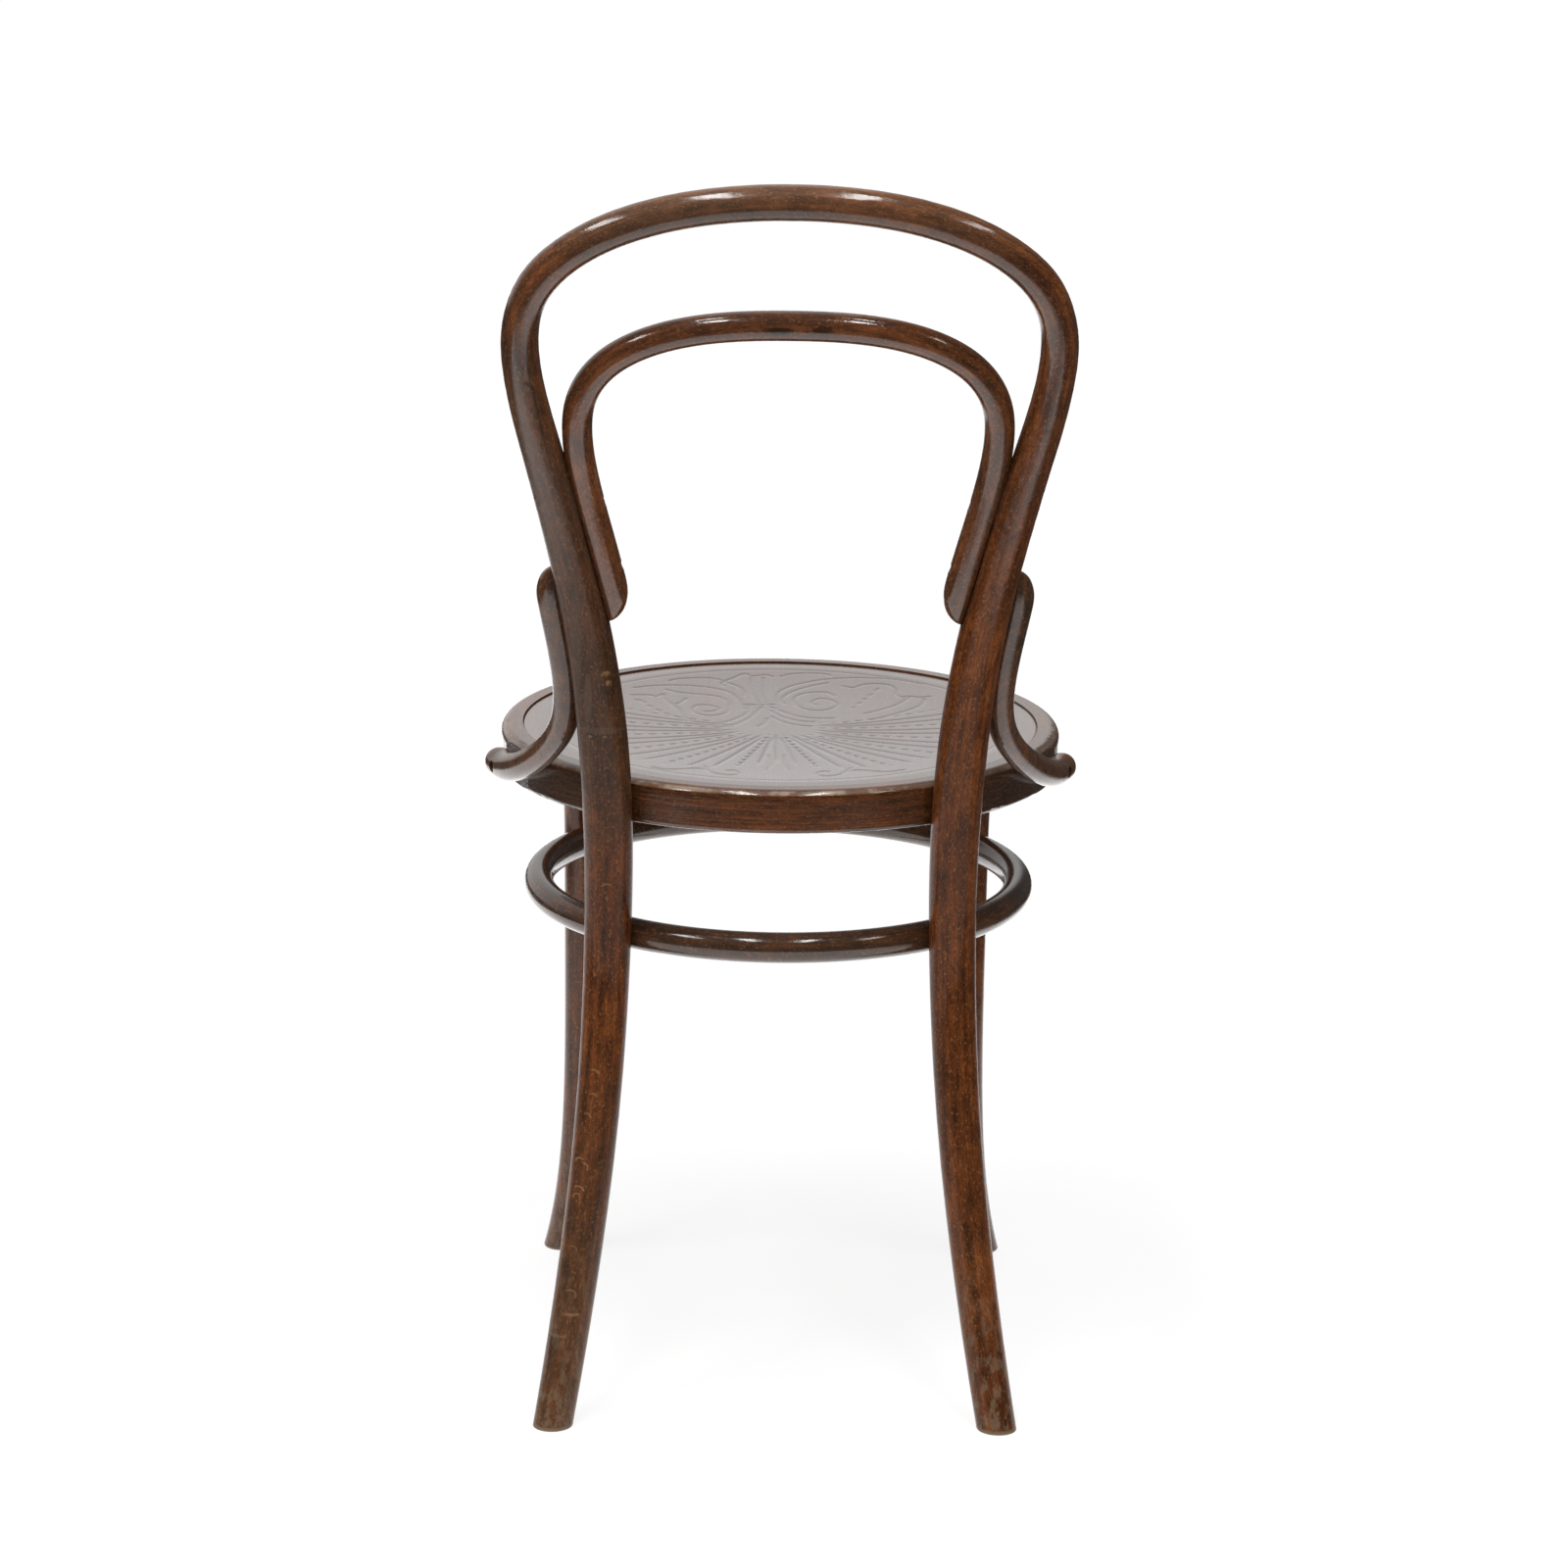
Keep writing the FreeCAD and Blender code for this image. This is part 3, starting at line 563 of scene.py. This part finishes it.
# Rubbed spots: place, size, how strong, colour
BOW_SPOTS = [((0.1204, 0.1663, 0.5382), (0.0016, 0.02, 0.0022), 0.50, PALE),
             ((0.1212, 0.1674, 0.5450), (0.0030, 0.02, 0.0020), 0.35, PALE),
             ((0.1245, 0.1591, 0.5033), (0.0220, 0.03, 0.0030), 0.35, DULL),
             ((0.1325, 0.1582, 0.4989), (0.0020, 0.02, 0.0012), 0.60, WORN_AND_EDGE_HIGHLIGHT),
             ((0.1225, 0.1582, 0.4990), (0.0020, 0.02, 0.0012), 0.60, WORN_AND_EDGE_HIGHLIGHT),
             ((0.1420, 0.1690, 0.5600), (0.0045, 0.02, 0.0700), 0.32, DULL),
             ((0.1340, 0.1640, 0.5250), (0.0035, 0.02, 0.0220), 0.40, DULL),
             ((0.1443, 0.1630, 0.0794), (0.0070, 0.02, 0.0014), 0.35, PALE),
             ((0.1552, 0.1675, 0.0641), (0.0090, 0.02, 0.0014), 0.45, WORN_AND_EDGE_HIGHLIGHT),
             ((0.1551, 0.1699, 0.0500), (0.0070, 0.02, 0.0180), 0.28, SMUDGE),
             ((-0.1413, 0.2096, 0.7160), (0.0014, 0.02, 0.0016), 0.80, PALE),
             ((-0.1406, 0.1292, 0.2973), (0.0010, 0.02, 0.0030), 0.40, PALE)]
INNER_SPOTS = [((0.008, 0.229, 0.7915), (0.012, 0.03, 0.0035), 0.80, SMUDGE),
               ((-0.022, 0.229, 0.7925), (0.009, 0.03, 0.0030), 0.70, SMUDGE)]

# Thin nicks on the rear of the left leg: place, size, lean, cut, how strong
BOW_NICKS = [((0.1218, 0.1674, 0.5440), (0.0024, 0.03, 0.0024), 0.6, 0.1, 0.420),
             ((0.1200, 0.1663, 0.5370), (0.0016, 0.03, 0.0024), -0.8, 0.0, 0.350),
             ((0.1212, 0.1531, 0.4741), (0.0018, 0.03, 0.0021), 0.3, 0.1, 0.280),
             ((0.1210, 0.1400, 0.4300), (0.0021, 0.03, 0.0010), 0.0, 0.1, 0.245),
             ((0.1213, 0.1349, 0.3844), (0.0034, 0.03, 0.0026), 0.2, 0.1, 0.315),
             ((0.1296, 0.1329, 0.2478), (0.0029, 0.03, 0.0024), -0.4, 0.2, 0.385),
             ((0.1306, 0.1342, 0.2313), (0.0026, 0.03, 0.0021), -0.5, 0.1, 0.350),
             ((0.1345, 0.1353, 0.2167), (0.0024, 0.03, 0.0026), -0.6, 0.0, 0.280),
             ((0.1392, 0.1390, 0.1850), (0.0029, 0.03, 0.0026), 0.4, 0.1, 0.385),
             ((0.1362, 0.1398, 0.1815), (0.0024, 0.03, 0.0029), -1.5, 0.2, 0.385),
             ((0.1400, 0.1438, 0.1655), (0.0032, 0.03, 0.0024), -0.4, 0.0, 0.420),
             ((0.1412, 0.1448, 0.1600), (0.0027, 0.03, 0.0027), 0.6, 0.1, 0.350),
             ((0.1440, 0.1480, 0.1240), (0.0029, 0.03, 0.0024), -0.5, 0.0, 0.210),
             ((0.1450, 0.1594, 0.0930), (0.0035, 0.03, 0.0032), -1.0, 0.0, 0.280)]

finish(["back_bow"], wood("bow_beech", bow_line, bow_look, BOW_SPOTS, BOW_NICKS, feet=True))
finish(["inner_bow"],
       wood("inner_bow_beech", inner_line, plain_look(tone=-0.045, dust_and_sheen=0.12), INNER_SPOTS))
finish(["seat_ring"],
       wood("seat_ring_beech", hoop_line(SEAT_RING_RADIUS, fine=3.0), ring_look, edge=ring_edge_wear_and_highlight))
finish(["leg_ring"],
       wood("leg_ring_beech", hoop_line(LEG_RING_RADIUS),
            plain_look(tone=-0.18, dust_and_sheen=0.24, gloss=0.9)))
finish(["front_leg_left", "front_leg_right"],
       wood("leg_beech", upright_line, plain_look(tone=-0.06, dust_and_sheen=0.10, gloss=0.5), feet=True))
finish(["bracket_left", "bracket_right"],
       wood("bracket_beech", upright_line, plain_look(tone=-0.13, dust_and_sheen=0.24, gloss=0.9)))
finish(["leg_block_left", "leg_block_right"], raw_beech())
finish(["seat_bolts", "seat_bolt_nuts", "seat_bolt_washers", "inner_bow_screws",
        "leg_ring_screws", "bracket_post_screws", "bracket_seat_screws"], steel())


# The pressed seat panel, in metres: a shallow dish inside a level rim, with lines pressed in.
# PANEL_LIFT closes the gap round it to the thin one of the photo.
PANEL_CELLS = 290
PANEL_LIFT = 0.0008
LEVEL_RADIUS = 0.172
DISH = 0.005
THICKNESS = 0.006
LINE_DEPTH = 0.00046
UNDERSIDE_RINGS = (1.0, 0.94, 0.75, 0.5, 0.25)

# The pattern, in shares of the panel's radius, with u to the sitter's left and v to the rear.
# A rib lies at a whole number of steps where it is RIB_STRAIGHT from the fan's middle, and
# RIB_BEND turns it further on its way out. AXIS_TURN is how far from straight back, in radians,
# the ribs are longer and deeper.
LINE_WIDTH = 0.0068
BORDER = 0.886
BORDER_DEPTH = 0.6
FAN_U, FAN_V = 0.016, -0.02
FAN_STEP = math.radians(6.4)
FAN_END = math.radians(112)
RIB_BEND = 0.22
RIB_STRAIGHT = 0.4
AXIS_TURN = 0.55
AXIS_DEPTH = 0.7
BEAD_WAVES = 115
LINE_STEPS = 14
BEAD_STEPS = 5

# The pattern's drawn lines, in hundredths of the radius: two shells with a scroll in each, a
# palmette between them, and leaves.
SCROLLS = [
    [(58, -57), (50, -61), (38, -63), (28, -61), (21, -56), (17, -48), (15, -38), (14, -29)],
    [(45, -56), (41, -53), (34, -51), (26, -49), (21, -43), (20, -34), (21, -24),
     (26, -19), (31, -20), (34, -24), (34, -31), (31, -35), (27, -34), (24, -30),
     (26, -26), (30, -25)],
    [(44, -69), (41, -72), (35, -74), (29, -75), (24, -73), (20, -68), (16, -63),
     (14, -56), (14, -49)],
    [(22, -64), (23, -68), (21, -72), (18, -76), (15, -81), (13, -82), (11, -79), (8, -80),
     (5, -81), (2, -78)],
    [(11, -77), (11, -65), (10, -51), (8, -38)],
    [(6, -77), (6, -63), (6, -49), (5, -37)],
    [(14, -37), (9, -37), (5, -37), (1, -38)],
    [(1, -29), (1, -37), (1, -47), (0, -56), (-5, -65), (-12, -71), (-19, -75), (-29, -77),
     (-41, -76), (-50, -72), (-58, -66)],
    [(-2, -38), (-1, -45), (-3, -52), (-7, -59), (-14, -66), (-20, -70)],
    [(-1, -79), (-6, -83), (-13, -84), (-19, -83), (-21, -80)],
    [(-22, -51), (-19, -56), (-13, -56), (-8, -52), (-6, -45), (-7, -37), (-10, -31),
     (-16, -29), (-21, -32), (-23, -38), (-21, -44), (-17, -47), (-14, -44), (-13, -40),
     (-15, -37)],
    [(-26, -65), (-30, -63), (-33, -66), (-36, -68), (-41, -68), (-45, -65), (-47, -59),
     (-47, -52), (-49, -48), (-52, -49), (-56, -47), (-61, -48)],
    [(-58, -44), (-56, -35), (-51, -28), (-44, -21), (-35, -13)],
    [(-52, -47), (-47, -37), (-40, -29), (-33, -23)],
    [(46, -49), (45, -41), (42, -33), (39, -24), (38, -17), (35, -10)],
    [(37, -44), (39, -38), (41, -35)],
    [(59, -46), (52, -47), (49, -45), (47, -49)],
    [(57, -39), (55, -38), (53, -34)],
    [(12, -35), (13, -24), (17, -15), (23, -8), (31, -6)],
    [(7, -33), (10, -23), (13, -14), (18, -5), (24, -1)],
    [(3, -33), (-1, -27), (-7, -20), (-14, -17), (-22, -17)],
    [(3, -28), (0, -20), (-7, -13), (-14, -11)],
    [(3, -19), (-1, -11), (-7, -6), (-13, -4)],
    [(5, -16), (6, -9), (9, -2)],
    [(29, 66), (27, 75), (23, 79), (19, 80), (16, 77), (18, 72), (21, 72)],
    [(49, 70), (44, 73), (38, 72), (34, 70), (30, 70), (28, 73)],
    [(-26, 66), (-23, 75), (-20, 79), (-16, 80), (-13, 77), (-15, 72), (-18, 72)],
    [(-46, 70), (-41, 73), (-35, 72), (-31, 70), (-27, 70), (-25, 73)],
    [(5, 44), (4, 58), (6, 72)],
    [(-1, 44), (-1, 58), (-3, 72)]]
BEADS = [
    [(-40, -61), (-36, -50), (-33, -42), (-29, -32)],
    [(52, -31), (47, -23), (42, -17), (37, -11)]]


def groove(distance):
    """1 on a line and 0 away from it, as a bell curve of the distance over the line's width."""
    return np.exp(-((distance / LINE_WIDTH) ** 2))


def window(value, low, high, soft=0.012):
    """1 between low and high, with soft ends."""
    return 1 / (1 + np.exp(-(value - low) / soft)) / (1 + np.exp((value - high) / soft))


def drawn(line):
    """Places along a smooth line through drawn points (a Catmull-Rom curve)."""
    points = np.array(line, dtype=float) / 100
    points = np.concatenate([2 * points[:1] - points[1:2], points, 2 * points[-1:] - points[-2:-1]])
    t = np.linspace(0, 1, LINE_STEPS, endpoint=False)[:, None]
    spans = []
    for before, start, end, after in zip(points, points[1:], points[2:], points[3:]):
        spans.append((2 * start + (end - before) * t
                      + (2 * before - 5 * start + 4 * end - after) * t ** 2
                      + (3 * start - before - 3 * end + after) * t ** 3) / 2)
    return np.concatenate(spans)


def pattern(u, v):
    """Depth of the pressed lines at a place of the panel, 1 for a line of the usual depth.

    A fan of bent ribs opens to the rear and the sides, every third rib a row of beads. Turn is
    the angle from straight back, and a rib is where turn less its bend is a whole number of
    steps. Ribs start about 0.2 from the fan's middle, every other one 0.05 further out, and end
    at 0.56 straight back and at 0.78 to the sides. Those near the axis start further in and are
    deeper. The drawn scrolls stand in front of the fan, and a circle runs round the border.
    """
    side = np.abs(u - FAN_U)
    reach = np.hypot(side, v - FAN_V)
    turn = np.arctan2(side, v - FAN_V)
    count = (turn - RIB_BEND * (reach - RIB_STRAIGHT) * np.sin(turn) ** 2) / FAN_STEP
    rib = np.round(count)
    apart = np.abs(count - rib) * FAN_STEP * reach
    beads = np.where(rib % 3 == 2, window(np.sin(reach * BEAD_WAVES), -0.2, 2, 0.2), 1.0)
    axis = np.exp(-((turn / AXIS_TURN) ** 2))
    start = 0.20 - 0.03 * np.sin(turn) + 0.05 * (rib % 2) - 0.07 * axis
    end = 0.56 + 0.22 * np.sin(np.minimum(turn * 2.2, math.pi / 2))
    lines = groove(apart) * window(reach, start, end) * window(turn, -1, FAN_END, 0.02) * beads
    lines *= 1 + AXIS_DEPTH * axis
    spots = [drawn(line) for line in SCROLLS]
    for line in BEADS:
        along = drawn(line)
        spots.append(along[np.arange(len(along)) // BEAD_STEPS % 2 == 0])
    near = np.full(u.shape, 1.0)
    for spot in np.concatenate(spots):
        np.minimum(near, np.hypot(u - spot[0], v - spot[1]), out=near)
    lines = np.maximum(lines, groove(near))
    return np.maximum(lines, BORDER_DEPTH * groove(np.hypot(u, v) - BORDER))


def dish(across):
    """Height of the dish against the rim at a distance from its middle: part of a ball."""
    ball = (LEVEL_RADIUS ** 2 + DISH ** 2) / (2 * DISH)
    inside = np.minimum(across, LEVEL_RADIUS)
    return ball - DISH - np.sqrt(ball * ball - inside * inside)


def seat_panel():
    """The pressed panel: a square grid drawn onto a disc, dished, with its pattern pressed in.

    A place (a, b) of the square from -1 to 1 goes to (a sqrt(1 - b b / 2), b sqrt(1 - a a / 2))
    on the disc. The underside is rings of the rim's own points, down to one middle point.
    """
    line = np.linspace(-1, 1, PANEL_CELLS + 1)
    a, b = np.meshgrid(line, line, indexing="ij")
    u = a * np.sqrt(1 - b * b / 2)
    v = b * np.sqrt(1 - a * a / 2)
    x, y = u * PANEL_RIM, v * PANEL_RIM
    z = PANEL_TOP + PANEL_LIFT + dish(np.hypot(x, y)) - LINE_DEPTH * pattern(u, v)
    top = np.stack([x, y + SEAT_Y, z], axis=-1).reshape(-1, 3)
    number = np.arange(len(top)).reshape(a.shape)
    rim = np.concatenate([number[:-1, 0], number[-1, :-1], number[:0:-1, -1], number[0, :0:-1]])
    quads = [np.stack([number[:-1, :-1], number[1:, :-1], number[1:, 1:], number[:-1, 1:]],
                      axis=-1).reshape(-1, 4)]
    points = [top]
    upper = rim
    for step, share in enumerate(UNDERSIDE_RINGS):
        ring = top[rim].copy()
        ring[:, 0] *= share
        ring[:, 1] = (ring[:, 1] - SEAT_Y) * share + SEAT_Y
        ring[:, 2] = PANEL_TOP - THICKNESS + dish(np.full(len(rim), share * PANEL_RIM))
        points.append(ring)
        lower = len(top) + step * len(rim) + np.arange(len(rim))
        quads.append(np.stack([upper, lower, np.roll(lower, -1), np.roll(upper, -1)], axis=-1))
        upper = lower
    points.append(np.array([[0.0, SEAT_Y, PANEL_TOP - THICKNESS - DISH]]))
    points = np.concatenate(points)
    middle = np.full(len(rim), len(points) - 1)
    fan = np.stack([upper, middle, np.roll(upper, -1)], axis=-1)
    mesh = bpy.data.meshes.new("pressed_seat_panel")
    mesh.from_pydata(points.tolist(), [], np.concatenate(quads).tolist() + fan.tolist())
    mesh.shade_smooth()
    mesh.update()
    return bpy.data.objects.new("pressed_seat_panel", mesh)


def panel_veneer():
    """Pressed veneer under even shellac, darker in the pressed lines, which are where the
    surface lies below the smooth dish."""
    material, graph, surface = shader("panel_veneer")
    grain = graph.use(BEECH, {"Line": panel_line(graph), "Tone": -0.03, "Dust And Sheen": 0.1})
    even = graph.mix(VENEER_SHARE, grain["Colour"], VENEER)
    x, y, z = graph.parts(graph.place())
    y = graph.math("SUBTRACT", y, SEAT_Y)
    square = graph.weighted(graph.times(y, y), (x, x))
    square = graph.math("MINIMUM", square, LEVEL_RADIUS ** 2)
    face = graph.weighted(PANEL_TOP + PANEL_LIFT - DISH, (square, DISH / LEVEL_RADIUS ** 2))
    sunk = graph.band(graph.math("SUBTRACT", face, z), 0.0001, LINE_DEPTH)
    stained = graph.mix(graph.times(sunk, LINE_STAIN), even, VENEER_LINE)
    graph.feed(surface.inputs["Base Color"], stained)
    graph.feed(surface.inputs["Roughness"], graph.math("ADD", grain["Roughness"], -0.1))
    normal = graph.bump(grain["Height"], VENEER_RIPPLE, VENEER_BUMP)
    graph.feed(surface.inputs["Normal"], normal)
    surface.inputs["Coat Weight"].default_value = 1.0
    surface.inputs["Coat Roughness"].default_value = VENEER_COAT_ROUGHNESS
    return material


panel = seat_panel()
bpy.context.collection.objects.link(panel)
panel.data.materials.append(panel_veneer())
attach(panel, "root")
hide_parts("seat_panel")


# The studio. The floor's white paper shines in the shellac as far as these edges, and the bare
# floor beyond them hardly does. Each edge is a stretch of x or y over which the paper fades
# out. It has no edge in front of the chair.
FLOOR_REACH = 30.0
PAPER_LEFT = (0.9, 1.25)
PAPER_RIGHT = (-0.85, -0.5)
PAPER_REAR = (0.95, 1.35)
PAPER_SHINE = 1.9
BARE_SHINE = 0.05
# How white the camera sees the floor near the chair and from 3 m away, where a strength of 1
# is white, and how much of this white covers the shadow
FLOOR_WHITE = (1.16, 1.31)
WHITE_SHARE = 0.72

SOFT_LIGHT = 0.42

# Lamps in long strips along Y, high above the chair: x, width, power
STRIPS = [(0.40, 0.19, 19.0), (-0.40, 0.17, 16.0), (1.5, 0.42, 27.0), (-1.5, 0.30, 12.0)]
STRIP_Y, STRIP_HEIGHT, STRIP_LENGTH = 0.8, 2.6, 1.2

# The camera fitted to the two rings and the bows of the photo, in millimetres and metres
LENS, SENSOR = 112.5, 36.0
CAMERA_RIGHT = (-0.999870, 0.009681, 0.012900)
CAMERA_UP = (0.010009, -0.254730, 0.966960)
CAMERA_BACK = (0.012647, 0.966964, 0.254600)
CAMERA_PLACE = (0.04187, 3.40972, 1.32307)


def floor():
    """A pale floor that meets the backdrop's white and still takes the chair's shadow."""
    line = np.array([-1.0, 1.0]) * FLOOR_REACH
    x, y = np.meshgrid(line, line, indexing="ij")
    points = np.stack([x, y, np.zeros_like(x)], axis=-1).reshape(-1, 3)
    mesh = bpy.data.meshes.new("floor")
    mesh.from_pydata(points.tolist(), [], [(0, 2, 3, 1)])
    mesh.update()
    material, graph, surface = shader("floor_paper")
    place = graph.place()
    tooth = graph.noise(place, PAPER_WAVES)
    paper = graph.ramp(tooth, [(0.3, (0.80, 0.80, 0.80, 1)), (0.7, (0.84, 0.84, 0.84, 1))])
    graph.feed(surface.inputs["Base Color"], paper)
    surface.inputs["Roughness"].default_value = 0.9
    x, y, _ = graph.parts(place)
    aside = graph.math("ADD", graph.band(x, *PAPER_LEFT), graph.falling(x, *PAPER_RIGHT))
    bare = graph.math("MAXIMUM", aside, graph.band(y, *PAPER_REAR))
    shine = graph.between(bare, PAPER_SHINE, BARE_SHINE)
    white = graph.between(graph.band(graph.length(place), 0.8, 3.0), *FLOOR_WHITE)
    path = graph.add("ShaderNodeLightPath").outputs
    strength = graph.between(path["Is Camera Ray"], shine, white)
    glow = graph.add("ShaderNodeEmission", {"Strength": strength})
    seen = graph.math("MAXIMUM", graph.times(path["Is Camera Ray"], WHITE_SHARE),
                      path["Is Glossy Ray"])
    blend = graph.add("ShaderNodeMixShader", {0: seen, 1: surface.outputs[0], 2: glow.outputs[0]})
    output = next(node for node in material.node_tree.nodes if node.type == "OUTPUT_MATERIAL")
    graph.feed(output.inputs["Surface"], blend.outputs[0])
    mesh.materials.append(material)
    piece = bpy.data.objects.new("floor", mesh)
    bpy.context.collection.objects.link(piece)


def surroundings():
    """White where the camera looks. What the shellac mirrors of the room is bright in front of
    the chair and dark on the camera's side and on the right. The soft light on the chair is
    weaker from both sides."""
    world = bpy.data.worlds.new("studio")
    world.use_nodes = True
    bpy.context.scene.world = world
    graph = Graph(world.node_tree)
    sky = next(node for node in world.node_tree.nodes if node.type == "BACKGROUND")
    path = graph.add("ShaderNodeLightPath").outputs
    x, y, _ = graph.parts(graph.add("ShaderNodeTexCoord").outputs["Generated"])
    room = graph.times(graph.between(graph.band(y, -0.75, 0.05), 0.85, 0.05),
                       graph.between(graph.band(x, -0.30, -0.06), 0.10, 1.0))
    left = graph.between(graph.band(x, 0.25, 0.85), 1.0, 0.6)
    right = graph.between(graph.band(x, -0.85, -0.25), 0.3, 1.0)
    strength = graph.between(path["Is Glossy Ray"], graph.times(left, right, SOFT_LIGHT), room)
    clear = graph.math("MAXIMUM", path["Is Camera Ray"], path["Is Transmission Ray"])
    sky.inputs["Color"].default_value = (1, 1, 1, 1)
    graph.feed(sky.inputs["Strength"], graph.between(clear, strength, 1.0))


def ceiling_strip(name, x, width, power):
    """A long soft lamp that faces straight down, with its length along Y."""
    light = bpy.data.lights.new(name, "AREA")
    light.shape = "RECTANGLE"
    light.size, light.size_y = width, STRIP_LENGTH
    light.energy = power
    lamp = bpy.data.objects.new(name, light)
    bpy.context.collection.objects.link(lamp)
    lamp.location = (x, STRIP_Y, STRIP_HEIGHT)


def photo_camera():
    """A camera at the photo's place, with its axes as the columns of its matrix."""
    camera = bpy.data.cameras.new("photo_camera")
    camera.lens = LENS
    camera.sensor_width = SENSOR
    piece = bpy.data.objects.new("photo_camera", camera)
    bpy.context.collection.objects.link(piece)
    rows = [(*CAMERA_RIGHT, 0.0), (*CAMERA_UP, 0.0), (*CAMERA_BACK, 0.0), (*CAMERA_PLACE, 1.0)]
    piece.matrix_world = Matrix(rows).transposed()
    bpy.context.scene.camera = piece


floor()
surroundings()
for number, strip in enumerate(STRIPS):
    ceiling_strip(f"ceiling_strip_{number}", *strip)
photo_camera()
bpy.context.scene.view_settings.view_transform = "Standard"
